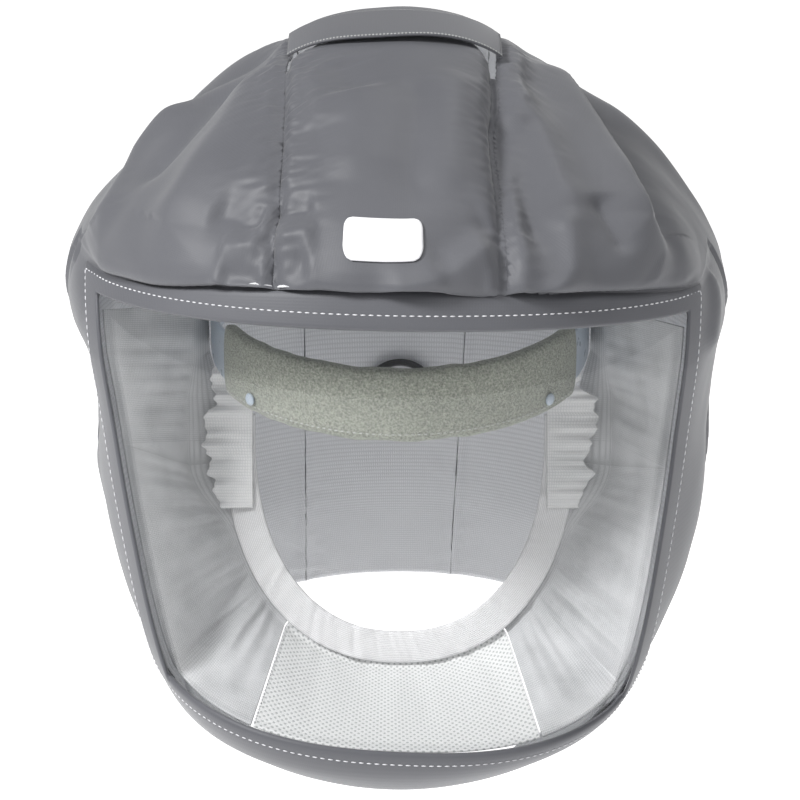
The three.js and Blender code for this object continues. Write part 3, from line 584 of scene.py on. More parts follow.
def dotted_nonwoven():
    """Spunbond polypropylene, point-bonded by a hot roller: white, with pressed dots 2.4 mm apart."""
    made, tree, shader = material("point_bonded_nonwoven", **{"Roughness": 0.75, "Sheen Weight": 0.2})
    place = node(tree, "ShaderNodeTexCoord")
    turned = node(tree, "ShaderNodeMapping", {"Rotation": (0, 0, math.radians(45))}, Vector=place.outputs["UV"])
    scaled = node(tree, "ShaderNodeVectorMath", {"operation": "SCALE", "Scale": 1 / 0.0024}, i0=turned.outputs[0])
    cell = node(tree, "ShaderNodeVectorMath", {"operation": "FRACTION"}, i0=scaled.outputs[0])
    middle = node(tree, "ShaderNodeVectorMath", {"operation": "SUBTRACT", 1: (0.5, 0.5, 0)}, i0=cell.outputs[0])
    flat = node(tree, "ShaderNodeVectorMath", {"operation": "MULTIPLY", 1: (1, 1, 0)}, i0=middle.outputs[0])
    away = node(tree, "ShaderNodeVectorMath", {"operation": "LENGTH"}, i0=flat.outputs[0])
    dots = ramp(tree, away.outputs["Value"], [(0.2, 0.0), (0.32, 1.0)])
    colour = node(tree, "ShaderNodeMix", {"data_type": "RGBA"})
    tree.links.new(dots, colour.inputs[0])
    colour.inputs[6].default_value = srgb("#b9bcbc")
    colour.inputs[7].default_value = srgb("#e9eaea")
    tree.links.new(colour.outputs[2], shader.inputs["Base Color"])
    bump(tree, shader, dots, 0.5, 0.0004)
    return made


def ribbed_elastic():
    """Knitted braid elastic: white, with fine ribs along its length."""
    made, tree, shader = material("braid_elastic", **{"Roughness": 0.62, "Sheen Weight": 0.3})
    place = node(tree, "ShaderNodeTexCoord")
    ribs = node(tree, "ShaderNodeTexWave", {"wave_type": "BANDS", "bands_direction": "Y", "Scale": 420.0,
                                            "Distortion": 0.2}, Vector=place.outputs["UV"])
    colour = ramp(tree, ribs.outputs["Fac"], [(0.0, srgb("#d8d8da")), (0.7, srgb("#f2f2f3"))])
    tree.links.new(colour, shader.inputs["Base Color"])
    bump(tree, shader, ribs.outputs["Fac"], 0.35, 0.0004)
    return made


def sweatband_foam():
    """Open-cell polyurethane foam: grey-green, full of fine pores."""
    made, tree, shader = material("open_cell_foam", **{"Roughness": 0.95, "Sheen Weight": 0.3})
    place = node(tree, "ShaderNodeTexCoord")
    cells = node(tree, "ShaderNodeTexVoronoi", {"Scale": 1500.0}, Vector=place.outputs["Object"])
    grain = speckle(tree, place, 1100.0, 6.0)
    colour = ramp(tree, grain, [(0.35, srgb("#7f837a")), (0.7, srgb("#b2b6aa"))])
    tree.links.new(colour, shader.inputs["Base Color"])
    first = bump(tree, shader, cells.outputs["Distance"], 0.6, 0.0006)
    bump(tree, shader, grain, 0.4, 0.0005, first)
    return made


def band_plastic():
    """Low-density polyethylene strip: milky, bluish and half see-through, with a waxy shine."""
    made, tree, shader = material("milky_polyethylene", **{
        "Base Color": srgb("#b9c4cf"), "Roughness": 0.32, "Subsurface Weight": 0.5, "IOR": 1.51})
    shader.inputs["Subsurface Radius"].default_value = (0.003, 0.0035, 0.004)
    place = node(tree, "ShaderNodeTexCoord")
    haze = speckle(tree, place, 120.0, 3.0)
    tree.links.new(ramp(tree, haze, [(0.3, 0.26), (0.7, 0.4)]), shader.inputs["Roughness"])
    return made


def visor_sheet():
    """Clear PETG sheet: lets nearly everything through and shines more where it turns away."""
    made, tree, shader = material("clear_petg", **{
        "Base Color": srgb("#f4f8fa"), "Roughness": 0.04, "IOR": 1.57, "Specular IOR Level": 0.5})
    clear = node(tree, "ShaderNodeBsdfTransparent", {"Color": (0.985, 0.985, 0.985, 1)})
    edge = node(tree, "ShaderNodeLayerWeight", {"Blend": 0.5})
    steep = node(tree, "ShaderNodeMath", {"operation": "POWER", 1: 4.0}, i0=edge.outputs["Facing"])
    share = node(tree, "ShaderNodeMath", {"operation": "MULTIPLY_ADD", 1: 0.4, 2: 0.02}, i0=steep.outputs[0])
    both = node(tree, "ShaderNodeMixShader", {}, i0=share.outputs[0], i1=clear.outputs[0])
    gloss = node(tree, "ShaderNodeBsdfGlossy", {"Color": (1, 1, 1, 1), "Roughness": 0.05})
    tree.links.new(gloss.outputs[0], both.inputs[2])
    output = next(n for n in tree.nodes if n.type == "OUTPUT_MATERIAL")
    tree.links.new(both.outputs[0], output.inputs["Surface"])
    tree.nodes.remove(shader)
    return made


def moulded(name, code, rough):
    """Injection-moulded ABS with a fine spark-eroded grain."""
    made, tree, shader = material(name, **{"Base Color": srgb(code), "Roughness": rough})
    place = node(tree, "ShaderNodeTexCoord")
    grain = speckle(tree, place, 900.0, 3.0)
    tree.links.new(ramp(tree, grain, [(0.3, rough - 0.06), (0.7, rough + 0.08)]),
                   shader.inputs["Roughness"])
    bump(tree, shader, grain, 0.15, 0.0002)
    return made


def thread(name, code):
    """Spun polyester sewing thread, slightly fuzzy, with the twist showing as a faint grain."""
    made, tree, shader = material(name, **{"Base Color": srgb(code), "Roughness": 0.7, "Sheen Weight": 0.4})
    place = node(tree, "ShaderNodeTexCoord")
    twist = speckle(tree, place, 2600.0, 2.0)
    bump(tree, shader, twist, 0.3, 0.0002)
    return made


LOOKS = {
    "shell": shell_cloth(),
    "inside": shell_inside(),
    "seal": sheet_cloth("taffeta_face_seal", "#b0b2b4", "#d6d7d9", 0.0010, 0.35, through=0.1),
    "nonwoven": sheet_cloth("spunbond_nonwoven", "#d9dbdc", "#f4f4f4", 0.0013, 0.35, through=0.15),
    "dots": dotted_nonwoven(),
    # The cuff's greys are darker than the white nonwoven's: its own pale tone plus painted shade for the hem's
    # shadow
    "cuff": sheet_cloth("crepe_nonwoven_painted_shade", "#b9bbbe", "#e0e1e3", 0.0021, 0.5),
    "elastic": ribbed_elastic(),
    "foam": sweatband_foam(),
    "band": band_plastic(),
    "visor": visor_sheet(),
    "inlet": moulded("grained_abs", "#2c2d30", 0.5),
    "label": sheet_cloth("satin_label", "#e4e4e8", "#f6f6f8", 0.0005, 0.08, rough=0.45),
    "white_thread": thread("white_polyester_thread", "#dcdce0"),
    "pale_thread": thread("grey_polyester_thread", "#b8bab8"),
}


# Pieces

def grid(columns, rows, place, size):
    """A bmesh grid of columns by rows. place maps shares across and up to mm, size is its mm for the UVs."""
    bm = bmesh.new()
    bm.loops.layers.uv.new("UVMap")
    bmesh.ops.create_grid(bm, x_segments=columns, y_segments=rows, size=0.5, calc_uvs=True)
    shares = np.array([(v.co.x + 0.5, v.co.y + 0.5) for v in bm.verts])
    move(bm, place(shares[:, 0], shares[:, 1]))
    layer = bm.loops.layers.uv.active
    for face in bm.faces:
        for loop in face.loops:
            loop[layer].uv = (loop[layer].uv[0] * size[0] * 0.001, loop[layer].uv[1] * size[1] * 0.001)
    return bm


def points_of(bm):
    return np.array([v.co for v in bm.verts])


def move(bm, points):
    for v, p in zip(bm.verts, points):
        v.co = p


def cut(bm, point, normal):
    """Keeps what lies on the side that normal points to."""
    everything = bm.verts[:] + bm.edges[:] + bm.faces[:]
    bmesh.ops.bisect_plane(bm, geom=everything, plane_co=point, plane_no=normal, clear_inner=True)


def drop_faces(bm, test):
    """Deletes the faces whose middles the test picks."""
    middles = np.array([f.calc_center_median() for f in bm.faces])
    gone = [f for f, out in zip(bm.faces[:], test(middles)) if out]
    bmesh.ops.delete(bm, geom=gone, context="FACES")


METRES = Matrix.Scale(0.001, 4)


def finish_piece(name, bm, looks, replaces=(), wall=0, offset=-1.0, turn_out=False):
    """Makes the mesh an object in metres, gives it its wall and its finishes, and has it ride on the root."""
    bmesh.ops.transform(bm, matrix=METRES, verts=bm.verts)
    if turn_out:
        bmesh.ops.recalc_face_normals(bm, faces=bm.faces)
    mesh = bpy.data.meshes.new(name)
    bm.to_mesh(mesh)
    bm.free()
    piece = bpy.data.objects.new(name + "_look" if replaces else name, mesh)
    bpy.context.scene.collection.objects.link(piece)
    mesh.shade_smooth()
    for look in looks:
        mesh.materials.append(LOOKS[look])
    if wall:
        solid = piece.modifiers.new("wall", "SOLIDIFY")
        solid.thickness = wall * 0.001
        solid.offset = offset
        if len(looks) > 1:
            solid.material_offset = 1
    if replaces:
        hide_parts(*replaces)
    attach(piece, "root")
    return piece


def hood_grid(low, high, columns, rows, crown_only=False):
    """The plain hood between two angles in degrees, its rows closest together above the brow."""
    def place(s, t):
        level = mix(0.63, 1, t) if crown_only else np.interp(t, [0, 0.36, 0.74, 1], [0, 0.605, 0.76, 1])
        return plain(np.radians(mix(low, high, s)), level * 0.9995)
    return grid(columns, rows, place, ((high - low) / 360 * 820, 400))


SURROUND_SIDE, SURROUND_TOP = 8, 17


def surround_widths(outline):
    brow = np.where(outline[:, 1] > WINDOW_CORNERS[3][1] - 1, 1 - (outline[:, 0] / WINDOW_CORNERS[3][0]) ** 2, 0)
    return mix(SURROUND_SIDE, SURROUND_TOP, clamp(brow))


def under_surround(points):
    """True where the surround covers the shell, a few millimetres in from its outer edge."""
    ring = window_outline(0, (30, 30, 30, 30))
    cover = grown(ring, surround_widths(ring) - 4)
    x, z = points[:, 0], points[:, 2]
    skirt = (z < -104) & (np.abs(x) < np.interp(z, [-150, -104], [80, 96]))
    return (points[:, 1] < -25) & (within(cover, x, z) | skirt)


def shell_panels():
    """The four panels of the shell, cut from the hood at its seams."""
    right_lean = math.atan2(RIGHT_SEAM_HIGH - RIGHT_SEAM_LOW, CROWN_HEIGHT - WINDOW_TOP)
    right_normal = Vector((math.cos(right_lean), 0, -math.sin(right_lean)))
    left_point, right_point = Vector((LEFT_SEAM, 0, 0)), Vector((RIGHT_SEAM_LOW, 0, WINDOW_TOP))
    panels = {}
    for name, low, high in (("side_panel_left", -186, -6), ("side_panel_right", 6, 186)):
        bm = hood_grid(low, high, 270, 210)
        if name.endswith("left"):
            cut(bm, left_point, (-1, 0, 0))
        else:
            cut(bm, right_point, right_normal)
        panels[name] = bm
    for name, low, high in (("front_panel", -62, 62), ("back_panel", 90, 270)):
        bm = hood_grid(low, high, 150 if name == "front_panel" else 190, 230, name == "front_panel")
        cut(bm, left_point, (1, 0, 0))
        cut(bm, right_point, -right_normal)
        panels[name] = bm
    for name, bm in panels.items():
        drop_faces(bm, under_surround)
        drop_faces(bm, lambda p: (p[:, 1] < -20) & (p[:, 2] < brow_seam(p[:, 0]) - 2.6) & (np.abs(p[:, 0]) < 100)
                   & (p[:, 2] > 40))
        bmesh.ops.remove_doubles(bm, verts=bm.verts, dist=0.02)
        inside = {"front_panel": "centre", "back_panel": "centre", "side_panel_right": "right"}.get(name, "side")
        move(bm, folded(points_of(bm), inside))
        piece = finish_piece(name, bm, ("shell", "inside"), (name,), SHELL_WALL)


def ring_place(s, t, out):
    """A point of the window's surround: s goes round the window and t from its edge outwards."""
    corners = (36, 44, 36, 44)
    ring = window_outline(0, corners)
    edge = outline_at(ring, s * len(ring))
    widths = surround_widths(ring)
    rim = grown(ring, widths)
    rim = lower_rim(ring, rim)
    far = outline_at(rim, s * len(rim))
    spot = edge * (1 - t)[:, None] + far * t[:, None]
    return front_point(spot[:, 0], spot[:, 1], out)


def lower_rim(ring, rim):
    """The surround's outer edge runs along the hem below the window."""
    low = ring[:, 1] < min(WINDOW_CORNERS[1][1], WINDOW_CORNERS[2][1]) + 14
    share = clamp((ring[:, 0] - WINDOW_CORNERS[1][0]) / (WINDOW_CORNERS[2][0] - WINDOW_CORNERS[1][0]))
    foot = np.stack([mix(-86, 86, share), np.full(len(ring), -HEM_DROP + 0.5)], axis=1)
    blend = smooth((-ring[:, 1] - 92) / 14)[:, None] * low[:, None]
    return rim * (1 - blend) + foot * blend


def visor_surround():
    """The hem round the window, the brow strip and the chin skirt, in one ring of cloth."""
    def place(s, t):
        rounded = 0.9 - 0.9 * (1 - clamp(t / 0.06)) ** 2
        sink = 2.6 * smooth((t - 0.7) / 0.3)
        return ring_place(s, t, rounded - sink)
    bm = grid(640, 18, place, (860, 16))
    bmesh.ops.remove_doubles(bm, verts=bm.verts, dist=0.01)
    bmesh.ops.reverse_faces(bm, faces=bm.faces)
    piece = finish_piece("visor_surround", bm, ("shell", "inside"), ("visor_surround",), HEM_WALL)


def stitches(name, path, normals, look, length=2.3, width=0.62, height=0.5):
    """A lock stitch: one short rounded thread for each pair of points on the path."""
    bm = bmesh.new()
    for here, there, normal in zip(path[:-1], path[1:], normals[:-1]):
        along = Vector(there - here)
        reach = along.length
        if reach < 1e-6:
            continue
        along.normalize()
        up = Vector(normal)
        across = up.cross(along).normalized()
        frame_matrix = Matrix((
            (along.x, across.x, up.x, 0), (along.y, across.y, up.y, 0), (along.z, across.z, up.z, 0), (0, 0, 0, 1)))
        made = bmesh.ops.create_icosphere(bm, subdivisions=1, radius=0.5)["verts"]
        bmesh.ops.scale(bm, vec=(length, width, height), verts=made)
        bmesh.ops.transform(bm, matrix=frame_matrix, verts=made)
        bmesh.ops.translate(bm, vec=Vector((here + there) / 2), verts=made)
    return finish_piece(name, bm, (look,))


def even_path(points, pitch, closed=False):
    """Points pitch mm apart along a path, at least roughly."""
    points = np.asarray(points, float)
    if closed:
        points = np.vstack([points, points[:1]])
    run = np.concatenate([[0], np.cumsum(np.linalg.norm(np.diff(points, axis=0), axis=1))])
    count = max(int(round(run[-1] / pitch)), 2)
    marks = np.linspace(0, run[-1], count + 1)
    return np.stack([np.interp(marks, run, points[:, k]) for k in range(3)], axis=1)


def window_stitching():
    corners = (60, 60, 60, 60)
    ring = grown(window_outline(0, corners), np.full(240, STITCH_INSET))
    path = front_point(ring[:, 0], ring[:, 1], 1.0)
    path = even_path(path, STITCH_PITCH, closed=True)
    level = level_of(path[:, 2])
    stitches("window_stitching", path, plain_normal(angle_of(path, level), level), "white_thread")


def visor():
    """A clear sheet behind the surround's hem."""
    ring = window_outline(6.5)
    starts = (0, 7, 15, 22)

    def place(s, t):
        left = outline_at(ring, starts[1] - t * 7)
        right = outline_at(ring, starts[2] + t * 7)
        low = outline_at(ring, starts[1] + s * 8)
        high = outline_at(ring, starts[3] + (1 - s) * 8)
        a, b, c, d = (ring[starts[1]], ring[starts[2]], ring[starts[0]], ring[starts[3]])
        s2, t2 = s[:, None], t[:, None]
        flat = mix(mix(a, b, s2), mix(c, d, s2), t2)
        spot = mix(left, right, s2) + mix(low, high, t2) - flat
        return front_point(spot[:, 0], spot[:, 1], -2.6)
    bm = grid(90, 70, place, (255, 185))
    finish_piece("visor_sheet", bm, ("visor",), ("visor",), 0.8)


def top_band():
    """The flap over the crown. Its front edge stands open over the front panel."""
    def place(s, t):
        x = mix(LEFT_SEAM - 0.5, right_seam_x(136) + 0.5, s)
        y = mix(-17 + 11 * (2 * s - 1) ** 2, 23, t)
        base = crown_point(x, y)
        lift = 2.2 * np.sin(np.pi * s) ** 0.7 * (1 - t) ** 2 + 0.5 * np.sin(s * 9 + 1) * (1 - t) * np.sin(np.pi * s)
        return base + np.array([0, 0, 1]) * (1.9 + lift)[:, None]
    bm = grid(90, 40, place, (92, 42))
    piece = finish_piece("top_band", bm, ("shell", "inside"), ("top_band",), 1.0)
    s = np.linspace(0, 1, 80)
    edge = place(s, np.full(80, 0.012)) + np.array([0, 0, 0.25])
    path = even_path(edge, 1.5)
    stitches("band_edge_stitching", path, np.tile([0, -0.5, 0.85], (len(path), 1)), "pale_thread", 1.1, 0.7, 0.5)


def crown_point(x, y):
    """The plain hood's point over x and y near the crown."""
    low, high = np.full(len(x), SHOULDER_LEVEL), np.full(len(x), 0.9995)
    for _ in range(30):
        middle = (low + high) / 2
        s = section_at(middle)
        depth = np.where(y < s[:, 2], s[:, 3], s[:, 4]) - s[:, 2]
        half = s[:, 1] * side_share(np.sign(x) * np.pi / 2, middle)
        inside = (x / half) ** 2 + ((y - s[:, 2]) / depth) ** 2 < 1
        low, high = np.where(inside, middle, low), np.where(inside, high, middle)
    return np.stack([x, y, section_at(low)[:, 0]], axis=1)


def label():
    """A blank woven label with rounded corners, sewn to the front panel."""
    half_w, half_h, corner = LABEL_HALF_WIDTH, LABEL_HALF_RISE, LABEL_CORNER

    def place(s, t):
        z = mix(-half_h, half_h, t)
        over = np.maximum(np.abs(z) - half_h + corner, 0) / corner
        inset = corner * (1 - np.sqrt(np.maximum(1 - over**2, 0)))
        x = mix(-half_w + inset, half_w - inset, s) + LABEL_X
        angle, level = front_angle(x, z + LABEL_Z)
        base = plain(angle, level)
        return folded(base, "centre") + plain_normal(angle, level) * 0.45
    bm = grid(30, 24, place, (28, 21))
    piece = finish_piece("label", bm, ("label",), ("label",), 0.5, offset=1.0)


# Face seal

def face_point(across, down, out):
    """Points of the face plane, which leans with the chin forward."""
    sine, cosine = math.sin(FACE_LEAN), math.cos(FACE_LEAN)
    across, down, out = np.broadcast_arrays(*(np.asarray(v, float) for v in (across, down, out)))
    return np.stack([across, -FACE_SETBACK - down * sine - out * cosine, -down * cosine + out * sine], axis=1)


def elastic_edge(turn, inset):
    """The elastic's edge in the face plane, inset mm from its outer one, by the turn in degrees."""
    turn = np.asarray(turn, float)
    c = np.maximum(np.cos(np.radians(turn)), 0)
    s = np.abs(np.sin(np.radians(turn)))
    reach = (c**ELASTIC_POWER + s**ELASTIC_POWER) ** (-1 / ELASTIC_POWER)
    x = (ELASTIC_HALF_WIDTH - inset) * reach * np.sin(np.radians(turn))
    return x, ELASTIC_SHOULDER + (ELASTIC_DROP - ELASTIC_SHOULDER - inset) * reach * c


# Where a side panel of the seal turns in and ends, as in the solids: share down the panel, then foot and
# end, each across, down and out as shares of the elastic's half width.
SEAL_ENDS = np.array([
    (0, 1.15, -0.32, 0.17, 1.09, -0.4, -0.035),
    (0.12, 1.16, 0, 0.065, 1.09, -0.076, -0.12),
    (0.22, 1.2, 0.19, -0.013, 1.0, 0.2, -0.013),
    (0.32, 1.2, 0.45, -0.013, 0.93, 0.45, -0.013),
])


def seal_path(side, share):
    """Foot and end of the seal at each share of a side panel."""
    share = np.asarray(share, float)
    at = [np.interp(share, SEAL_ENDS[:, 0], SEAL_ENDS[:, k]) * ELASTIC_HALF_WIDTH for k in range(1, 7)]
    foot, end = face_point(side * at[0], at[1], at[2]), face_point(side * at[3], at[4], at[5])
    t = clamp((share - 0.32) / 0.68)
    chin = CHIN_TURNS[0] if side < 0 else CHIN_TURNS[1]
    low_foot, low_end = chin_path(mix(side * 83, chin, t), mix(15, 2, smooth(t * 2.4)))
    lower = (share > 0.32)[:, None]
    return np.where(lower, low_foot, foot), np.where(lower, low_end, end)


def chin_path(turn, reach):
    x, down = elastic_edge(turn, -reach)
    foot = face_point(x, down, -0.95)
    x, down = elastic_edge(turn, 5)
    return foot, face_point(x, down, -0.95)


def gathers(share, count, seed):
    """Uneven gathers from -1 to 1, about count of them over the share."""
    steps = np.stack([share * count, np.full_like(share, seed * 3.7), np.zeros_like(share)], axis=1)
    fine = np.array([noise.noise(Vector(p)) + 0.5 * noise.noise(Vector(p * 2.3)) for p in steps])
    return fine * 1.5


def seal_panel(name, start, end, path, look, count, columns, depth, cut_size, seed):
    """A panel of the seal from the window's edge to the elastic, in gathers that tighten inwards."""
    ring = window_outline(4, (28, 32, 28, 32))

    def place(s, t):
        edge = outline_at(ring, mix(start, end, s) * 4)
        foot, tuck = path(s)
        begin = front_point(edge[:, 0], edge[:, 1], -5.6)
        rise = clamp(t / 0.88)
        along = mix(begin, foot, rise[:, None])
        final = mix(along, tuck, smooth((t - 0.86) / 0.14)[:, None])
        away = np.array([0, -math.cos(FACE_LEAN), math.sin(FACE_LEAN)])
        calm = clamp(np.minimum(s, 1 - s) * 9)
        tight = gathers(s, count, seed) * (rise**1.2) * (1 - rise) ** 0.55 * 2.2
        loose = gathers(s + 0.15 * t, count * 0.42, seed + 5) * np.sin(np.pi * rise)
        ruffle = 0.5 * np.sin(s * count * 9.0) * smooth((rise - 0.8) / 0.15) * (1 - rise) * 8
        bow = -4.2 * np.sin(np.pi * rise)
        out = (depth * tight + depth * 0.9 * loose + ruffle) * calm + bow
        return final + away * out[:, None]
    bm = grid(columns, 46, place, cut_size)
    piece = finish_piece(name, bm, (look,), (name,), 0.6)
    return place


def face_seal():
    seal_panel("face_seal_left", SEAL_START, CHIN_PLACES[0] - SEAM_SHARE, lambda s: seal_path(-1, s), "seal",
               17, 320, 4.4, (230, 62), 1)
    seal_panel("face_seal_right", CHIN_PLACES[1] + SEAM_SHARE, SEAL_STOP, lambda s: seal_path(1, 1 - s), "seal",
               17, 320, 4.4, (230, 62), 2)
    chin = seal_panel("chin_panel", CHIN_PLACES[0] + SEAM_SHARE, CHIN_PLACES[1] - SEAM_SHARE,
                      lambda s: chin_path(mix(CHIN_TURNS[0] + 0.4, CHIN_TURNS[1] - 0.4, s), 2), "dots",
                      7, 220, 1.2, (130, 85), 3)
    t = np.linspace(0.02, 0.9, 60)
    for name, s in (("chin_seam_left", 0.0), ("chin_seam_right", 1.0)):
        run = chin(np.full(60, s), t)
        path = even_path(run + np.array([0, -0.9, 0.3]), 2.6)
        stitches(name, path, np.tile([0, -0.9, 0.4], (len(path), 1)), "white_thread", 1.9, 0.6, 0.5)


def seal_elastic():
    """The elastic round the face, a soft band with ribs along it."""
    def place(s, t):
        turn = mix(-90, 90, clamp((s - 0.03) / 0.94))
        x, down = elastic_edge(turn, ELASTIC_WIDTH * t)
        rise = np.maximum(0.03 - s, s - 0.97) / 0.03
        down = np.where(rise > 0, mix(ELASTIC_SHOULDER, ELASTIC_TOP, clamp(rise)), down)
        crown = 1.0 + 0.7 * np.sin(np.pi * t) ** 0.6
        wave = 0.7 * gathers(s, 34, 9) * np.abs(2 * t - 1) ** 2 + 0.3 * gathers(s + 0.02 * t, 60, 10)
        return face_point(x, down, crown + wave)
    bm = grid(300, 14, place, (340, 13.5))
    finish_piece("seal_elastic", bm, ("elastic",), ("seal_elastic",), 1.1)


def temple_gusset(side):
    """The frilled flap at a temple, over the elastic's end."""
    name = "temple_gusset_left" if side < 0 else "temple_gusset_right"

    def place(s, t):
        down = mix(62, -2.8, t)
        frill = 3.4 * gathers(t, 11, 20 + side)
        inner = ELASTIC_HALF_WIDTH - ELASTIC_WIDTH + 1
        width = 20 * (0.7 + 0.3 * np.sin(np.pi * clamp(t * 1.1))) + frill
        x = side * (inner + width * s)
        out = 3.0 + 3.0 * gathers(t, 12, 30 + side) * s + 0.5 * np.sin(np.pi * s)
        return face_point(x, down, np.maximum(out, 1.9))
    bm = grid(26, 90, place, (22, 66))
    piece = finish_piece(name, bm, ("nonwoven",), (name,), 0.5,
                         offset=1.0 if side < 0 else -1.0)


# Headband

def band_ring(turn, out):
    """Points round the head at turn degrees from the front, out mm from the headband's middle."""
    turn = np.radians(turn)
    return (BAND_HALF_WIDTH + out) * np.sin(turn), -(BAND_HALF_LENGTH + out) * np.cos(turn)


def headband():
    """A flexible strip round the head, its edges rounded."""
    def place(s, t):
        turn = s * 360
        around = t * 2 * np.pi
        out = 0.8 * np.sign(np.cos(around)) * np.abs(np.cos(around)) ** 0.5
        x, y = band_ring(turn, out)
        z = 15 + 11 * np.sign(np.sin(around)) * np.abs(np.sin(around)) ** 0.25
        return np.stack([x, y, z], axis=1)
    bm = grid(160, 20, place, (560, 46))
    bmesh.ops.remove_doubles(bm, verts=bm.verts, dist=0.01)
    finish_piece("headband", bm, ("band",), ("headband",), turn_out=True)


def sweatband():
    """A foam sleeve over the headband's front, plump between its sewn edges."""
    spread = 62

    def place(s, t):
        turn = mix(-spread, spread, s)
        around = t * 2 * np.pi
        ends = np.minimum(1, (np.minimum(s, 1 - s) * 26) ** 0.5 + 0.25)
        swell = 4.0 * ends * np.sign(np.cos(around)) * np.abs(np.cos(around)) ** 0.55
        x, y = band_ring(turn, swell + 0.25 * gathers(s, 30, 12) * np.abs(np.cos(around)))
        rise = np.sign(np.sin(around)) * np.abs(np.sin(around)) ** 0.7
        z = 15.5 + 15.2 * (0.9 + 0.1 * ends) * rise + 0.4 * gathers(s, 14, 13)
        return np.stack([x, y, z], axis=1)
    bm = grid(200, 44, place, (200, 86))
    bmesh.ops.remove_doubles(bm, verts=bm.verts, dist=0.01)
    ends = [e for e in bm.edges if e.is_boundary]
    bmesh.ops.holes_fill(bm, edges=ends, sides=0)
    piece = finish_piece("sweatband", bm, ("foam",), ("sweatband",), turn_out=True)
    turn = np.linspace(-spread + 3, spread - 3, 90)
    x, y = band_ring(turn, 4.15)
    run = np.stack([x, y, np.full(90, 4.2)], axis=1)
    path = even_path(run, 2.6)
    out = unit(np.stack([path[:, 0], path[:, 1], np.zeros(len(path))], axis=1))
    stitches("sweatband_stitching", path, out, "pale_thread", 1.9, 0.6, 0.5)


def stud(side):
    """A small domed stud pressed into the sweatband."""
    name = "sweatband_stud_left" if side < 0 else "sweatband_stud_right"
    bm = bmesh.new()
    bmesh.ops.create_uvsphere(bm, u_segments=24, v_segments=12, radius=2.6)
    bmesh.ops.scale(bm, vec=(1, 1, 0.5), verts=bm.verts)
    turn = side * 46
    x, y = band_ring(np.array([turn]), 4.6)
    outward = Vector((x[0] / BAND_HALF_WIDTH**2, y[0] / BAND_HALF_LENGTH**2, 0)).normalized()
    bmesh.ops.rotate(bm, cent=(0, 0, 0), matrix=outward.to_track_quat("Z", "Y").to_matrix(), verts=bm.verts)
    bmesh.ops.translate(bm, vec=(x[0], y[0], 7), verts=bm.verts)
    finish_piece(name, bm, ("band",), (name,))


# Neck

def neck_cuff():
    """The strip of nonwoven inside the front of the hem, which shows below it. Its pale cloth is painted greyer, as
    painted shade from the hem over it.
    """
    def place(s, t):
        angle = np.radians(mix(-78, 78, s))
        show = 8.5 * np.sin(np.pi * s) ** 0.4
        z = -HEM_DROP + mix(-show, 22, t) + 0.5 * gathers(s, 30, 15) * (1 - t) ** 2
        level = level_of(z)
        base = plain(angle, level)
        return base + plain_normal(angle, level) * (-3.0 + 0.5 * gathers(s, 40, 16) * (1 - t))[:, None]
    bm = grid(240, 14, place, (300, 27))
    # The cuff look carries painted shade: its cloth colour is darkened for the shadow under the hem
    piece = finish_piece("neck_cuff", bm, ("cuff",), ("neck_cuff",), 0.8)


def air_inlet():
    """The collar for the breathing tube: turned about its own axis, with a flange and a grip rib."""
    tilt = math.radians(14)
    axis = Vector((0, math.cos(tilt), -math.sin(tilt)))
    seat = Vector((0, 123.1575, -68.9684))
    profile = [(15, -9.5), (15, 18.5), (15.8, 19.5), (17.2, 19.5), (18, 18.7), (18, 15.5), (18.6, 15), (18.6, 12.6),
               (18, 12.1), (18, 2.6), (18.5, 2), (27.4, 2), (28, 1.4), (28, 0.6), (27.4, 0), (18, 0), (18, -9.5),
               (17.2, -10.4), (15.6, -10.4), (15, -9.5)]
    bm = bmesh.new()
    verts = [bm.verts.new((r, 0, h)) for r, h in profile[:-1]]
    edges = [bm.edges.new((a, b)) for a, b in zip(verts, verts[1:] + verts[:1])]
    bmesh.ops.spin(bm, geom=verts + edges, cent=(0, 0, 0), axis=(0, 0, 1), angle=2 * math.pi, steps=72,
                   use_merge=True)
    bmesh.ops.remove_doubles(bm, verts=bm.verts, dist=0.01)
    bmesh.ops.rotate(bm, cent=(0, 0, 0), matrix=axis.to_track_quat("Z", "Y").to_matrix(), verts=bm.verts)
    bmesh.ops.translate(bm, vec=seat, verts=bm.verts)
    piece = finish_piece("air_inlet", bm, ("inlet",), ("air_inlet",), turn_out=True)
    sharp = piece.modifiers.new("crisp", "EDGE_SPLIT")
    sharp.split_angle = math.radians(50)


# Camera, light and floor

CAMERA_ELEVATION = math.radians(22)
CAMERA_DISTANCE = 1.2
CAMERA_FOCAL_PX = 2790
CAMERA_TARGET_RISE = -0.0205


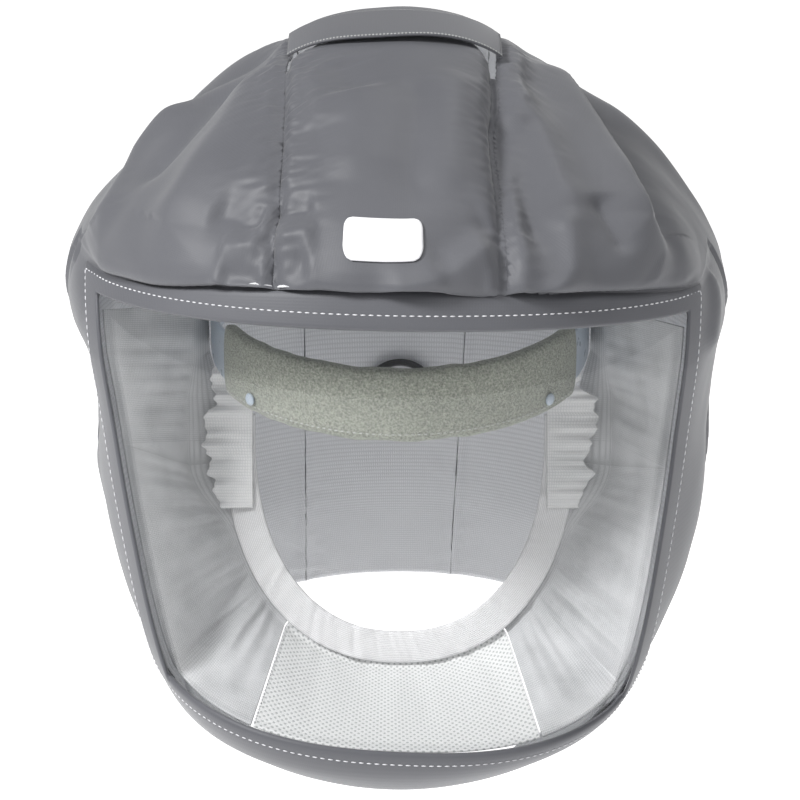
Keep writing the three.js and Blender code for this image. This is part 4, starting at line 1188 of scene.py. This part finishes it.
def camera():
    sine, cosine = math.sin(CAMERA_ELEVATION), math.cos(CAMERA_ELEVATION)
    target = Vector((0, sine, cosine)) * CAMERA_TARGET_RISE
    data = bpy.data.cameras.new("camera")
    data.sensor_width = 36
    data.lens = 36 * CAMERA_FOCAL_PX / 800
    data.clip_start = 0.05
    eye = bpy.data.objects.new("camera", data)
    eye.location = target + Vector((0, -cosine, sine)) * CAMERA_DISTANCE
    eye.rotation_euler = (math.pi / 2 - CAMERA_ELEVATION, 0, 0)
    bpy.context.scene.collection.objects.link(eye)
    bpy.context.scene.camera = eye


def lamp(name, place, size, power, target=(0, 0, 0)):
    data = bpy.data.lights.new(name, "AREA")
    data.shape = "RECTANGLE"
    data.size, data.size_y = size
    data.energy = power
    made = bpy.data.objects.new(name, data)
    made.location = place
    made.rotation_euler = (Vector(target) - Vector(place)).to_track_quat("-Z", "Y").to_euler()
    bpy.context.scene.collection.objects.link(made)


def studio():
    """A glowing white table well below the head cover, a pale world and large soft lamps."""
    scene = bpy.context.scene
    bm = bmesh.new()
    bmesh.ops.create_circle(bm, cap_ends=True, segments=64, radius=9)
    bmesh.ops.translate(bm, vec=(0, 0, -0.75), verts=bm.verts)
    mesh = bpy.data.meshes.new("floor")
    bm.to_mesh(mesh)
    bm.free()
    floor = bpy.data.objects.new("floor", mesh)
    paper = material("studio_table", **{
        "Base Color": (0.9, 0.9, 0.9, 1), "Roughness": 0.9, "Emission Color": (1, 1, 1, 1),
        "Emission Strength": 0.8})[0]
    mesh.materials.append(paper)
    scene.collection.objects.link(floor)
    world = bpy.data.worlds.new("studio_air")
    world.use_nodes = True
    world.node_tree.nodes["Background"].inputs["Color"].default_value = (1, 1, 1, 1)
    world.node_tree.nodes["Background"].inputs["Strength"].default_value = 0.3
    scene.world = world
    lamp("key", (-1.2, -0.75, 1.35), (0.5, 0.5), 36)
    lamp("front", (0.3, -1.3, 1.7), (1.2, 0.9), 10, (0, 0, -0.05))
    lamp("top", (0.5, 0.5, 1.6), (1.0, 1.0), 7)
    scene.view_settings.view_transform = "Standard"
    scene.view_settings.look = "None"


camera()
studio()
shell_panels()
visor_surround()
window_stitching()
visor()
top_band()
label()
face_seal()
seal_elastic()
for side in (-1, 1):
    temple_gusset(side)
    stud(side)
headband()
sweatband()
neck_cuff()
air_inlet()
